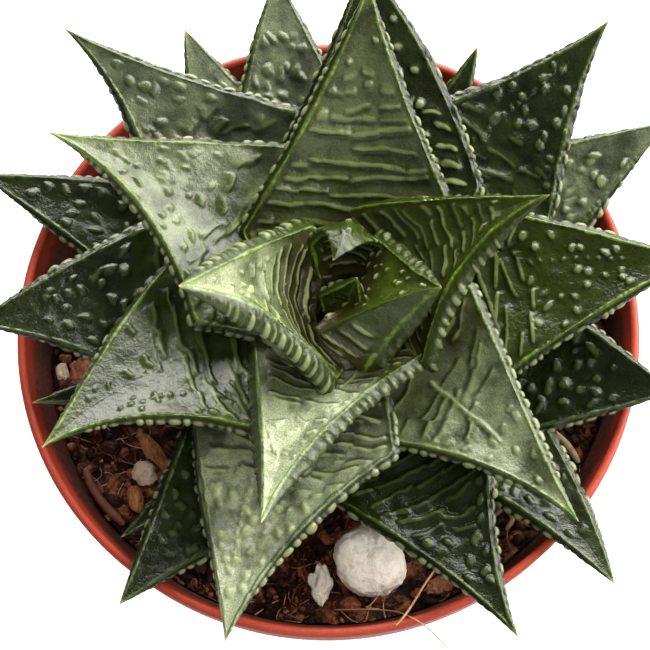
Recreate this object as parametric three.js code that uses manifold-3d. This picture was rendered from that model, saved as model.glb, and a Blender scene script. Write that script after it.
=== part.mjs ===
// A small ridged rosette succulent in a round plastic nursery pot, in millimetres.
// +Z is up, the pot stands on z = 0 with its centre at the origin, and -Y is the front.
// The leaves are fleshy blades on a short stem. Each blade is trimmed clear of the blades above it,
// as real leaves press against each other, so every leaf stays a body of its own.

import * as THREE from 'three';
import { mergeVertices } from 'three/addons/utils/BufferGeometryUtils.js';
import Module from 'manifold-3d';

const wasm = await Module();
wasm.setup();

// ---- Driving dimensions ----

const GAP = 0.3; // clearance between neighbouring pieces

const POT_RIM_RADIUS = 52.5;
const POT_HEIGHT = 92;
const POT_FOOT_RADIUS = 35.5;
const POT_WALL = 1.1;
const COLLAR_HEIGHT = 8; // the stiff band under the lip
const COLLAR_STEP = 1.3; // how far the band stands out from the wall below it
const COLLAR_DRAFT = 0.9; // how much narrower the band is at its bottom than at the lip
const STEP_SLOPE = 0.3; // height of the slanted face under the band
const LIP_WIDTH = 1.5;
const LIP_ROUND = 0.6;
const FLOOR_RAISE = 2; // the floor stands this high above the foot ring
const FLOOR_THICKNESS = 1.3;
const FOOT_RING_WIDTH = 2.6;
const FOOT_SLOPE = 0.6;
const CENTRE_PAD_RADIUS = 9;
const DRAIN_HOLES = 8;
const DRAIN_HOLE_RADIUS = 3;
const DRAIN_CIRCLE_RADIUS = 24;
const DRAIN_SEGMENTS = 16;
const POT_SEGMENTS = 64;

const SOIL_LEVEL = 79.5; // height of the mix at the wall
const SOIL_CLEARANCE = 0.4; // the mix has fewer facets than the pot, so it keeps a little more than the gap
const SOIL_SEGMENTS = 36;
const SOIL_RINGS = [46, 41, 35, 28, 20, 12];
const SOIL_MARK = 0.01; // lifts the points of the surface above the wall's, to tell them apart
const MOUND = { height: 2.5, radius: 40 }; // rise of the mix towards the stem
const HUMPS = { height: 0.9, acrossX: 7, acrossY: 6, seed: 5 }; // its unevenness

const STEM = { x: 4, y: 0, bottom: 66, top: 103, bottomRadius: 4.2, topRadius: 2.6, segments: 12 };

const LEAF_SIDES = 10;
const LEAF_STATIONS = [0, 0.1, 0.2, 0.32, 0.46, 0.62, 0.78, 0.9, 1];
const SPINE_STEPS = 48;
const EDGE_BAND = 1.1; // width of the bevelled edge outside the crest line
const EDGE_DROP = 0.8; // how far the band falls, as a share of its width
const CHANNEL_SHARE = 0.75; // depth of the channel half-way out to the crest line
const BELLY = { across: 0.58, down: 0.66 }; // the underside's knee between edge and keel, as shares
const BROADEST_ROUNDING = 0.12; // how softly the sides turn at the broadest place

// One row for each leaf, from the heart of the rosette outwards and down.
// turn: heading of the blade in degrees, counter-clockwise from +X; foot: height of its base in mm;
// length and width in mm; rise: slope at the base in degrees; curl: change of slope to the tip;
// roll: lean to one side; bend: change of heading; widest: where the blade is broadest, from the base;
// taper: 1 for straight sides, more for a drawn-out tip; cup: depth of the channel; flesh: thickness.
const LEAF_COLUMNS = [
  'name', 'turn', 'foot', 'length', 'width', 'rise', 'curl', 'roll', 'bend',
  'widest', 'taper', 'cup', 'flesh',
];
const LEAF_ROWS = [
  ['bud_leaf_1', 52, 102, 11, 8, 72, -20, 0, 0, 0.35, 1, 1.2, 2.2],
  ['bud_leaf_2', 75, 102, 20, 11, 35, 130, 0, -30, 0.35, 1.05, 2, 2],
  ['inner_leaf_1', -13, 102.5, 21, 23, 56, -10, 5, 0, 0.15, 1.15, 4.5, 2.2],
  ['inner_leaf_2', 188, 101.5, 38, 26, 57, -18, 8, 28, 0.15, 1.3, 5, 2.8],
  ['inner_leaf_3', 17, 100.5, 39, 30, 39, -16, -9, -34, 0.15, 1.4, 3, 3],
  ['inner_leaf_4', 247, 99, 44, 30, 28, -10, 17, 15, 0.1, 1.45, 2.4, 3],
  ['middle_leaf_1', 82, 97.5, 52, 36, 33, -14, 3, 0, 0.2, 1.25, 2.4, 3.2],
  ['middle_leaf_2', 149, 96, 56, 35, 28, -14, 9, 29, 0.35, 1.55, 2.4, 3.4],
  ['middle_leaf_3', 309, 95, 50, 31, 22, -14, 8, -15, 0.2, 1.45, 2.2, 3.4],
  ['middle_leaf_4', 205, 94.5, 55, 37, 24, -14, 10, 38, 0.35, 1.4, 2.2, 3.4],
  ['middle_leaf_5', 2, 93, 54, 36, 22, -14, 1, -8, 0.25, 1.05, 2, 3.4],
  ['outer_leaf_1', 84, 92, 58, 33, 25, -12, -1, 24, 0.4, 0.95, 1.8, 3.4],
  ['outer_leaf_2', 44, 91, 64, 35, 20, -10, 5, -1, 0.4, 1.4, 1.8, 3.4],
  ['outer_leaf_3', 247, 90.5, 57, 35, 19, -12, 20, 23, 0.35, 1.3, 1.8, 3.4],
  ['outer_leaf_4', 292, 89.5, 58, 35, 17, -12, 5, 9, 0.3, 1.5, 1.8, 3.4],
  ['outer_leaf_5', 131, 89, 68, 34, 20, -12, -5, 21, 0.4, 1.6, 1.6, 3.4],
  ['outer_leaf_6', 179, 88.3, 61, 33, 19, -12, -6, 28, 0.4, 1.15, 1.6, 3.4],
  ['outer_leaf_7', 342, 86.5, 51, 31, 16, -10, 6, -1, 0.35, 0.9, 1.6, 3.2],
  ['outer_leaf_8', 97, 86, 61, 28, 17, -10, 1, -16, 0.35, 0.95, 1.6, 3.2],
  ['outer_leaf_9', 154, 85.5, 65, 29, 15, -8, 0, 12, 0.25, 1, 1.6, 3.2],
  ['outer_leaf_10', 28, 85.5, 61, 29, 16, -8, 3, -7, 0.3, 1, 1.6, 3.2],
  ['outer_leaf_11', 228, 85, 58, 29, 14.5, -8, -1, 1, 0.3, 1.1, 1.6, 3.2],
  ['outer_leaf_12', 308, 84.6, 60, 24, 15.5, -7, -1, -28, 0.25, 1.05, 1.6, 2.6],
  ['lowest_leaf_1', 114, 83.5, 58, 23, 14, -4, -2, -9, 0.35, 0.95, 1.4, 2.8],
  ['lowest_leaf_2', 190, 83, 52, 15, 14, -6, 0, 0, 0.25, 1.1, 1.2, 2.6],
  ['lowest_leaf_3', 219, 83, 49, 15, 12, -6, 0, -6, 0.25, 1.1, 1.2, 2.6],
  ['lowest_leaf_4', 62, 83.4, 52, 15, 15.5, -5, 0, 0, 0.25, 1, 1.2, 2.4],
];
const LEAF_FOOT_RADIUS = { bud_leaf_1: -3, bud_leaf_2: 5, inner: 1.5, middle: 4, outer: 4, lowest: 4 };
const LEAF_CLASP = { bud: 0.8, inner: 0.75, middle: 0.5, outer: 0.45, lowest: 0.5 }; // width at the base

// A blade with three edges: its face stands up in a fold on the right. The shares of the fold's height are
// those at the left, middle and right of the face.
const FOLDS = { inner_leaf_1: { height: 9.5, shares: [0.09, 0.4, 1] } };
const FOLD_FADE = 0.8; // how evenly the fold falls off to the tip

// Stones and chips lying in the mix: centre, size along x, y and z, turn in degrees, shape seed.
const STONES = {
  white_stone: { at: [3.9, -38.6, 84.2], size: [12, 12.2, 9.4], turn: 12, seed: 3, colour: 0xe6ddcf },
  white_chip: { at: [-4.3, -41.4, 81.9], size: [4.2, 7.6, 3.6], turn: 8, seed: 7, colour: 0xddd5ca },
  cream_pebble: { at: [-32.9, -20.2, 81.6], size: [4.2, 5.2, 3.6], turn: 30, seed: 11, colour: 0xd8c7ae },
  pale_grit: { at: [-46.2, -0.8, 81.2], size: [2.4, 3, 2.2], turn: 0, seed: 17, colour: 0xdccbb5 },
};
const BARK = {
  bark_chunk: { at: [-41.9, -1.4, 81.4], size: [6.4, 6.6, 3.4], turn: 20, seed: 21, colour: 0x8a4a31 },
  bark_strip: { at: [-31.1, -16.4, 82.2], size: [3, 9.4, 2], turn: 36, seed: 23, colour: 0xb5713a },
  bark_flake_front_left: {
    at: [-31.8, -28.6, 81.8], size: [4.6, 6.2, 1.8], turn: -35, seed: 29, colour: 0x552a20,
  },
  bark_flake_right: { at: [43.6, -14.4, 81.6], size: [6.2, 4.4, 2.6], turn: 28, seed: 31, colour: 0xa5694a },
  bark_flake_front: { at: [15.6, -43.2, 81.8], size: [5.8, 3.2, 1.8], turn: 14, seed: 37, colour: 0x7a4029 },
  coir_lump: { at: [-34.6, -24.2, 81.2], size: [3, 5.4, 2.4], turn: 12, seed: 41, colour: 0xa8623a },
};
const STONE_DETAIL = 1;
const STONE_LUMPS = { swell: 0.12, pitch: 4 }; // unevenness of a stone as a share of its size
const BEDDING = 0.25; // how much wider than a stone its bed in the mix is

// Fibres, rootlets and twigs: diameter and the points they pass through.
const STRANDS = {
  wall_twig: {
    width: 1.5, colour: 0x5a3023, points: [[-43, -18.4, 81.9], [-40.8, -23.8, 82.3], [-36.6, -29, 82]],
  },
  pale_rootlet: {
    width: 1.1, colour: 0xc9a68a, points: [[36.8, -18.2, 82.9], [39.2, -21.2, 83], [40.8, -24.2, 82.5]],
  },
  curled_rootlet: {
    width: 0.9, colour: 0xc79f86,
    points: [[25.6, -32.2, 82.2], [27.4, -31.2, 83], [28.6, -33, 83.2], [27.4, -34.8, 82.6]],
  },
  coir_fibre_1: {
    width: 0.6, colour: 0xc07a3c,
    points: [[15.2, -40.6, 84.4], [12.6, -44.4, 88], [9.6, -49.2, 92.4], [7.4, -51.6, 92.9]],
  },
  coir_fibre_2: {
    width: 0.4, colour: 0xb9703c,
    points: [
      [-2.6, -46.2, 82.8], [2.6, -46.8, 84.4], [7.4, -48.2, 88], [10.2, -50.4, 92.5], [12.8, -52.6, 92.9],
      [15.8, -56, 92.6],
    ],
  },
  coir_fibre_3: {
    width: 0.4, colour: 0xb9703c,
    points: [[8.6, -40.2, 83], [4.2, -45.6, 84], [3, -46.3, 83.4], [5.2, -46.6, 82.8]],
  },
};
const STRAND_SIDES = 6;
const STRAND_STEPS_PER_SPAN = 3.3;

// ---- Solid helpers ----

// The solid inside a closed mesh: shared corners are merged and flat triangles at a pole dropped.
function solidOf(geometry) {
  const bare = geometry.clone();
  bare.deleteAttribute('normal');
  bare.deleteAttribute('uv');
  const merged = mergeVertices(bare, 1e-4);
  const corners = merged.index.array;
  const kept = [];
  for (let i = 0; i < corners.length; i += 3) {
    const [a, b, c] = corners.slice(i, i + 3);
    if (a !== b && b !== c && c !== a) kept.push(a, b, c);
  }
  return new wasm.Manifold(new wasm.Mesh({
    numProp: 3,
    vertProperties: new Float32Array(merged.attributes.position.array),
    triVerts: new Uint32Array(kept),
  }));
}

function geometryOf(solid) {
  const mesh = solid.getMesh();
  const geometry = new THREE.BufferGeometry();
  geometry.setAttribute('position', new THREE.BufferAttribute(new Float32Array(mesh.vertProperties), 3));
  geometry.setIndex(new THREE.BufferAttribute(new Uint32Array(mesh.triVerts), 1));
  geometry.computeVertexNormals();
  return geometry;
}

function subtractAll(solid, cutters) {
  return cutters.reduce((left, cutter) => left.subtract(cutter), solid);
}

// The largest separate body of a solid, so that a trimmed piece has no loose crumbs.
function largestBody(solid) {
  const bodies = solid.decompose();
  return bodies.reduce((best, body) => (body.volume() > best.volume() ? body : best));
}

function plastic(colour) {
  return new THREE.MeshStandardMaterial({ color: colour, roughness: 0.45, metalness: 0 });
}

function waxyLeaf(colour) {
  return new THREE.MeshStandardMaterial({ color: colour, roughness: 0.55, metalness: 0 });
}

function matte(colour) {
  return new THREE.MeshStandardMaterial({ color: colour, roughness: 0.9, metalness: 0 });
}

function named(name, solid, material) {
  const mesh = new THREE.Mesh(geometryOf(solid), material);
  mesh.name = name;
  return mesh;
}

// A lathe about +Z from points of radius and height.
function turned(outline, segments) {
  const geometry = new THREE.LatheGeometry(outline.map(([r, z]) => new THREE.Vector2(r, z)), segments);
  return geometry.rotateX(Math.PI / 2);
}

function upright(topRadius, bottomRadius, bottom, top, x, y, segments) {
  const geometry = new THREE.CylinderGeometry(topRadius, bottomRadius, top - bottom, segments);
  return geometry.rotateX(Math.PI / 2).translate(x, y, (top + bottom) / 2);
}

// A gentle unevenness between -1 and 1 that depends only on place and seed.
function ripple(x, y, z, seed) {
  const a = Math.sin(1.7 * x + 2.3 * seed) * Math.cos(1.3 * y - seed);
  const b = Math.sin(1.9 * z + 0.7 * seed + 0.8 * x) * Math.cos(2.1 * y + 1.1 * seed);
  return 0.5 * (a + b);
}

// ---- Pot ----

// Outer radius of the pot's wall below the collar.
function bodyRadius(z) {
  const shoulder = POT_RIM_RADIUS - COLLAR_STEP - POT_WALL;
  return THREE.MathUtils.mapLinear(z, 0, POT_HEIGHT - COLLAR_HEIGHT, POT_FOOT_RADIUS, shoulder);
}

function drainHole(index) {
  const angle = (index + 0.5) * 2 * Math.PI / DRAIN_HOLES;
  const x = DRAIN_CIRCLE_RADIUS * Math.cos(angle);
  const y = DRAIN_CIRCLE_RADIUS * Math.sin(angle);
  const through = FLOOR_RAISE + 2 * FLOOR_THICKNESS;
  return solidOf(upright(DRAIN_HOLE_RADIUS, DRAIN_HOLE_RADIUS, 0, through, x, y, DRAIN_SEGMENTS));
}

function potSolid() {
  const collarBottom = POT_HEIGHT - COLLAR_HEIGHT;
  const lipInner = POT_RIM_RADIUS - LIP_WIDTH;
  const floorTop = FLOOR_RAISE + FLOOR_THICKNESS;
  const outline = [
    [0, 0],
    [CENTRE_PAD_RADIUS, 0],
    [CENTRE_PAD_RADIUS + FOOT_SLOPE, FLOOR_RAISE],
    [POT_FOOT_RADIUS - FOOT_RING_WIDTH - FOOT_SLOPE, FLOOR_RAISE],
    [POT_FOOT_RADIUS - FOOT_RING_WIDTH, 0],
    [POT_FOOT_RADIUS, 0],
    [bodyRadius(collarBottom), collarBottom],
    [POT_RIM_RADIUS - COLLAR_DRAFT, collarBottom + STEP_SLOPE],
    [POT_RIM_RADIUS, POT_HEIGHT - LIP_ROUND],
    [POT_RIM_RADIUS - LIP_ROUND * 0.4, POT_HEIGHT - LIP_ROUND * 0.2],
    [POT_RIM_RADIUS - LIP_ROUND, POT_HEIGHT],
    [lipInner + LIP_ROUND * 0.5, POT_HEIGHT],
    [lipInner, POT_HEIGHT - LIP_ROUND],
    [bodyRadius(collarBottom) - POT_WALL, collarBottom],
    [bodyRadius(floorTop) - POT_WALL, floorTop],
    [0, floorTop],
  ];
  const holes = Array.from({ length: DRAIN_HOLES }, (_, i) => drainHole(i));
  return subtractAll(solidOf(turned(outline, POT_SEGMENTS)), holes);
}

// ---- Potting mix and stem ----

function soilHeight(x, y) {
  const fromStem = Math.hypot(x - STEM.x, y - STEM.y);
  const mound = MOUND.height * Math.max(0, 1 - fromStem / MOUND.radius);
  return SOIL_LEVEL + mound + HUMPS.height * ripple(x / HUMPS.acrossX, y / HUMPS.acrossY, 0, HUMPS.seed);
}

function soilSolid() {
  const floorTop = FLOOR_RAISE + FLOOR_THICKNESS + GAP;
  const wallRadius = (z) => bodyRadius(z) - POT_WALL - SOIL_CLEARANCE;
  const outline = [[0, floorTop], [wallRadius(floorTop), floorTop], [wallRadius(SOIL_LEVEL), SOIL_LEVEL]];
  for (const radius of [...SOIL_RINGS, 0]) outline.push([radius, SOIL_LEVEL + SOIL_MARK]);
  const geometry = turned(outline, SOIL_SEGMENTS);
  const places = geometry.attributes.position;
  for (let i = 0; i < places.count; i += 1) {
    if (places.getZ(i) > SOIL_LEVEL + 0.5 * SOIL_MARK) {
      places.setZ(i, soilHeight(places.getX(i), places.getY(i)));
    }
  }
  return solidOf(geometry);
}

function stemSolid(grow) {
  const { x, y, bottom, top, bottomRadius, topRadius, segments } = STEM;
  return solidOf(upright(topRadius + grow, bottomRadius + grow, bottom - grow, top + grow, x, y, segments));
}

// ---- Leaves ----

function leafOf(row) {
  const leaf = Object.fromEntries(LEAF_COLUMNS.map((column, i) => [column, row[i]]));
  const tier = leaf.name.split('_')[0];
  const footRadius = LEAF_FOOT_RADIUS[leaf.name] ?? LEAF_FOOT_RADIUS[tier];
  return { ...leaf, footRadius, clasp: LEAF_CLASP[tier], fold: FOLDS[leaf.name] };
}

// Heading and frame of the blade at t, from 0 at the base to 1 at the tip.
function frameAt(leaf, t) {
  const slope = THREE.MathUtils.degToRad(leaf.rise + leaf.curl * t);
  const heading = THREE.MathUtils.degToRad(leaf.turn + leaf.bend * (t - 0.5));
  const lean = THREE.MathUtils.degToRad(leaf.roll);
  const forward = new THREE.Vector3(
    Math.cos(slope) * Math.cos(heading), Math.cos(slope) * Math.sin(heading), Math.sin(slope),
  );
  const level = new THREE.Vector3(-Math.sin(heading), Math.cos(heading), 0);
  const side = level.applyAxisAngle(forward, lean);
  const up = new THREE.Vector3().crossVectors(forward, side);
  return { forward, side, up };
}

function spinePoint(leaf, t) {
  const start = THREE.MathUtils.degToRad(leaf.turn - leaf.bend / 2);
  const point = new THREE.Vector3(
    STEM.x + leaf.footRadius * Math.cos(start), STEM.y + leaf.footRadius * Math.sin(start), leaf.foot,
  );
  const step = t / SPINE_STEPS;
  for (let i = 0; i < SPINE_STEPS; i += 1) {
    point.addScaledVector(frameAt(leaf, (i + 0.5) * step).forward, leaf.length * step);
  }
  return point;
}

// Half the width between the crest lines: a line that narrows to the tip, rounded off into the base.
function halfWidth(leaf, t) {
  const toTip = ((1 - t) / (1 - leaf.widest)) ** leaf.taper;
  const toBase = leaf.clasp + (1.1 - leaf.clasp) * (t / leaf.widest) ** 0.9;
  const mix = THREE.MathUtils.clamp(0.5 + 0.5 * (toBase - toTip) / BROADEST_ROUNDING, 0, 1);
  const blended = toBase * (1 - mix) + toTip * mix - 0.5 * BROADEST_ROUNDING * mix * (1 - mix);
  return 0.5 * leaf.width * Math.max(blended, 0);
}

// The section at t, grown by a clearance: points across (positive to the left of the heading) and above.
function sectionAt(leaf, t, grow) {
  const crest = halfWidth(leaf, t);
  const shrink = Math.min(1, 4 * (1 - t)) ** 0.6;
  const edge = crest + EDGE_BAND * shrink;
  const drop = EDGE_DROP * EDGE_BAND * shrink;
  const cup = leaf.cup * Math.min(1, crest / (0.5 * leaf.width));
  const keel = cup + drop + leaf.flesh * (1 - t) ** 0.7;
  const knee = [BELLY.across * edge + 0.4 * grow, -drop - BELLY.down * (keel - drop) - grow];
  const face = leaf.fold
    ? leaf.fold.shares.map((share) => leaf.fold.height * (1 - t) ** FOLD_FADE * share)
    : [-CHANNEL_SHARE * cup, -cup, -CHANNEL_SHARE * cup];
  return [
    [crest + grow, 0.6 * grow],
    [0.5 * crest, face[0] + grow],
    [0, face[1] + grow],
    [-0.5 * crest, face[2] + grow],
    [-crest - grow, 0.6 * grow],
    [-edge - grow, -drop],
    [-knee[0], knee[1]],
    [0, -keel - 1.2 * grow],
    [knee[0], knee[1]],
    [edge + grow, -drop],
  ];
}

// A cone bent into the blade: its rings become sections of the leaf and its apex the tip.
function leafSolid(leaf, grow) {
  const bands = LEAF_STATIONS.length - 1;
  const geometry = new THREE.ConeGeometry(1, 1, LEAF_SIDES, bands);
  const places = geometry.attributes.position;
  for (let i = 0; i < places.count; i += 1) {
    const ring = Math.round((places.getY(i) + 0.5) * bands);
    const t = LEAF_STATIONS[ring];
    const { forward, side, up } = frameAt(leaf, t);
    const point = spinePoint(leaf, t);
    const onRing = Math.hypot(places.getX(i), places.getZ(i)) > 1e-6;
    if (onRing && t < 1) {
      const angle = Math.atan2(places.getX(i), places.getZ(i));
      const corner = Math.round(angle / (2 * Math.PI) * LEAF_SIDES + LEAF_SIDES) % LEAF_SIDES;
      const [across, above] = sectionAt(leaf, t, grow)[corner];
      point.addScaledVector(side, across).addScaledVector(up, above);
    } else if (t < 1) {
      point.addScaledVector(up, -leaf.cup - 0.5 * leaf.flesh);
    }
    if (t === 0) point.addScaledVector(forward, -grow);
    if (t === 1) point.addScaledVector(forward, 3 * grow);
    places.setXYZ(i, point.x, point.y, point.z);
  }
  return solidOf(geometry);
}

// ---- Stones, bark and strands ----

function stoneSolid({ at, size, turn, seed }, grow) {
  const { swell, pitch } = STONE_LUMPS;
  const geometry = new THREE.IcosahedronGeometry(0.5, STONE_DETAIL);
  const places = geometry.attributes.position;
  for (let i = 0; i < places.count; i += 1) {
    const [x, y, z] = [places.getX(i), places.getY(i), places.getZ(i)];
    const reach = 1 + swell * ripple(pitch * x, pitch * y, pitch * z, seed);
    places.setXYZ(i, x * reach, y * reach, z * reach);
  }
  geometry.scale(size[0] + 2 * grow, size[1] + 2 * grow, size[2] + 2 * grow);
  geometry.rotateZ(THREE.MathUtils.degToRad(turn)).translate(...at);
  return solidOf(geometry);
}

function strandSolid({ width, points }, grow) {
  const path = new THREE.CatmullRomCurve3(points.map((point) => new THREE.Vector3(...point)));
  const radius = 0.5 * width + grow;
  const corners = Array.from({ length: STRAND_SIDES }, (_, i) => {
    const angle = i * 2 * Math.PI / STRAND_SIDES;
    return new THREE.Vector2(radius * Math.cos(angle), radius * Math.sin(angle));
  });
  const steps = Math.round(STRAND_STEPS_PER_SPAN * (points.length - 1));
  return solidOf(new THREE.ExtrudeGeometry(new THREE.Shape(corners), { extrudePath: path, steps }));
}

// ---- Assembly ----

const plant = new THREE.Group();
plant.add(named('pot', potSolid(), plastic(0xb5482f)));
plant.add(named('short_stem', stemSolid(0), matte(0x7d7a4c)));

// From the top of the rosette down, each leaf is trimmed clear of the stem and of the leaves above it.
const cutters = [stemSolid(GAP)];
for (const leaf of LEAF_ROWS.map(leafOf)) {
  const trimmed = largestBody(subtractAll(leafSolid(leaf, 0), cutters));
  plant.add(named(leaf.name, trimmed, waxyLeaf(0x4f6a35)));
  cutters.push(leafSolid(leaf, GAP));
}

// Stones and bark give way to the leaves over them, and the strands to both.
for (const [name, stone] of Object.entries({ ...STONES, ...BARK })) {
  const trimmed = largestBody(subtractAll(stoneSolid(stone, 0), cutters));
  plant.add(named(name, trimmed, matte(stone.colour)));
  cutters.push(stoneSolid(stone, GAP + BEDDING));
}
for (const [name, strand] of Object.entries(STRANDS)) {
  const trimmed = largestBody(subtractAll(strandSolid(strand, 0), cutters));
  plant.add(named(name, trimmed, matte(strand.colour)));
  cutters.push(strandSolid(strand, GAP));
}

// The mix fills the pot to below the rim and closes round everything that is set in it.
plant.add(named('potting_mix', largestBody(subtractAll(soilSolid(), cutters)), matte(0x3a221b)));

export default plant;
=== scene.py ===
"""The surfaces and fine shapes of a small ridged rosette succulent in a plastic nursery pot.

They are built round the frame, which is in metres. The leaf table is in millimetres.
+Z is up and -Y is the front.
"""

import math

import bmesh
import bpy
import numpy as np
from bpy.props import FloatProperty, FloatVectorProperty, IntProperty, PointerProperty
from mathutils import Matrix, Vector


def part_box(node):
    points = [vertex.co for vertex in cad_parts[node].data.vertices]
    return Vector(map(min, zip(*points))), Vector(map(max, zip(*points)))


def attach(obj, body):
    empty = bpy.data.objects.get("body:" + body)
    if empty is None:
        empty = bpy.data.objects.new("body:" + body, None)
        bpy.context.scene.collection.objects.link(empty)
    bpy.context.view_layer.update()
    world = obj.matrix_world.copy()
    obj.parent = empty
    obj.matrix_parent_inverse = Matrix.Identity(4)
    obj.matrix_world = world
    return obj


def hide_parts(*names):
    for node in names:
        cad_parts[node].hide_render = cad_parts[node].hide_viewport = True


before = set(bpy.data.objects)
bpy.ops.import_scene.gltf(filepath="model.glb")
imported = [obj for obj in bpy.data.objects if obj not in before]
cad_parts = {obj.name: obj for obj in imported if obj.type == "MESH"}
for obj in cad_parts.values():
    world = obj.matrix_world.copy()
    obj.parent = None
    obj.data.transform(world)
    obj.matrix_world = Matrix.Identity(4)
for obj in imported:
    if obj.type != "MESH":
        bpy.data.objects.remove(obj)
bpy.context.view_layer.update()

bl_info = {
    "name": "Potted Haworthia",
    "version": (1, 0, 0),
    "blender": (4, 5, 0),
    "location": "View3D > Sidebar > Haworthia",
    "description": "Models a ridged rosette succulent in a nursery pot, with its potting mix and stones",
    "category": "Add Mesh",
}

MM = 0.001
IMAGE_PIXELS = 650

# ---- The leaves, from the heart of the rosette outwards and down ----

# turn: heading in degrees, counter-clockwise from +X; foot: height of the base in mm; length and width in mm;
# rise: slope at the base in degrees; curl: change of slope to the tip; roll: lean to one side;
# bend: change of heading; widest: where the blade is broadest, from the base; taper: 1 for straight sides;
# cup: depth of the channel; flesh: thickness.
LEAF_COLUMNS = (
    "name", "turn", "foot", "length", "width", "rise", "curl", "roll", "bend", "widest", "taper", "cup",
    "flesh",
)
LEAF_ROWS = (
    ("bud_leaf_1", 52, 102, 11, 8, 72, -20, 0, 0, 0.35, 1, 1.2, 2.2),
    ("bud_leaf_2", 75, 102, 20, 11, 35, 130, 0, -30, 0.35, 1.05, 2, 2),
    ("inner_leaf_1", -13, 102.5, 21, 23, 56, -10, 5, 0, 0.15, 1.15, 4.5, 2.2),
    ("inner_leaf_2", 188, 101.5, 38, 26, 57, -18, 8, 28, 0.15, 1.3, 5, 2.8),
    ("inner_leaf_3", 17, 100.5, 39, 30, 39, -16, -9, -34, 0.15, 1.4, 3, 3),
    ("inner_leaf_4", 247, 99, 44, 30, 28, -10, 17, 15, 0.1, 1.45, 2.4, 3),
    ("middle_leaf_1", 82, 97.5, 52, 36, 33, -14, 3, 0, 0.2, 1.25, 2.4, 3.2),
    ("middle_leaf_2", 149, 96, 56, 35, 28, -14, 9, 29, 0.35, 1.55, 2.4, 3.4),
    ("middle_leaf_3", 309, 95, 50, 31, 22, -14, 8, -15, 0.2, 1.45, 2.2, 3.4),
    ("middle_leaf_4", 205, 94.5, 55, 37, 24, -14, 10, 38, 0.35, 1.4, 2.2, 3.4),
    ("middle_leaf_5", 2, 93, 54, 36, 22, -14, 1, -8, 0.25, 1.05, 2, 3.4),
    ("outer_leaf_1", 84, 92, 58, 33, 25, -12, -1, 24, 0.4, 0.95, 1.8, 3.4),
    ("outer_leaf_2", 44, 91, 64, 35, 20, -10, 5, -1, 0.4, 1.4, 1.8, 3.4),
    ("outer_leaf_3", 247, 90.5, 57, 35, 19, -12, 20, 23, 0.35, 1.3, 1.8, 3.4),
    ("outer_leaf_4", 292, 89.5, 58, 35, 17, -12, 5, 9, 0.3, 1.5, 1.8, 3.4),
    ("outer_leaf_5", 131, 89, 68, 34, 20, -12, -5, 21, 0.4, 1.6, 1.6, 3.4),
    ("outer_leaf_6", 179, 88.3, 61, 33, 19, -12, -6, 28, 0.4, 1.15, 1.6, 3.4),
    ("outer_leaf_7", 342, 86.5, 51, 31, 16, -10, 6, -1, 0.35, 0.9, 1.6, 3.2),
    ("outer_leaf_8", 97, 86, 61, 28, 17, -10, 1, -16, 0.35, 0.95, 1.6, 3.2),
    ("outer_leaf_9", 154, 85.5, 65, 29, 15, -8, 0, 12, 0.25, 1, 1.6, 3.2),
    ("outer_leaf_10", 28, 85.5, 61, 29, 16, -8, 3, -7, 0.3, 1, 1.6, 3.2),
    ("outer_leaf_11", 228, 85, 58, 29, 14.5, -8, -1, 1, 0.3, 1.1, 1.6, 3.2),
    ("outer_leaf_12", 308, 84.6, 60, 24, 15.5, -7, -1, -28, 0.25, 1.05, 1.6, 2.6),
    ("lowest_leaf_1", 114, 83.5, 58, 23, 14, -4, -2, -9, 0.35, 0.95, 1.4, 2.8),
    ("lowest_leaf_2", 190, 83, 52, 15, 14, -6, 0, 0, 0.25, 1.1, 1.2, 2.6),
    ("lowest_leaf_3", 219, 83, 49, 15, 12, -6, 0, -6, 0.25, 1.1, 1.2, 2.6),
    ("lowest_leaf_4", 62, 83.4, 52, 15, 15.5, -5, 0, 0, 0.25, 1, 1.2, 2.4),
)
# Where the stem stands, and how far from its middle a leaf starts, in mm.
STEM_AXIS = (4.0, 0.0)
FOOT_RADIUS = {"bud_leaf_1": -3, "bud_leaf_2": 5, "inner": 1.5, "middle": 4, "outer": 4, "lowest": 4}
# Width of the base against the widest place, density of the mesh, and the share of a blade that lies hidden.
CLASP = {"bud": 0.8, "inner": 0.75, "middle": 0.5, "outer": 0.45, "lowest": 0.5}
FINENESS = {"bud": 0.5, "inner": 0.95, "middle": 1.0, "outer": 0.9, "lowest": 0.6}
HIDDEN = {"bud": 0.0, "inner": 0.05, "middle": 0.12, "outer": 0.2, "lowest": 0.3}
LEAF_SLOT = {
    "bud": "young_leaf", "inner": "young_leaf", "middle": "mature_leaf", "outer": "old_leaf",
    "lowest": "old_leaf",
}
# How softly the outline turns at its broadest place.
BROADEST_ROUNDING = 0.12
SPINE_STEPS = 240
# Where along a blade its ridges and lobes start, and where the lobes stop.
RELIEF_START = 0.08
LOBES_END = 0.96
# Ridges don't reach further than this along the blade, in mm.
ROD_REACH = 4.5

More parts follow.
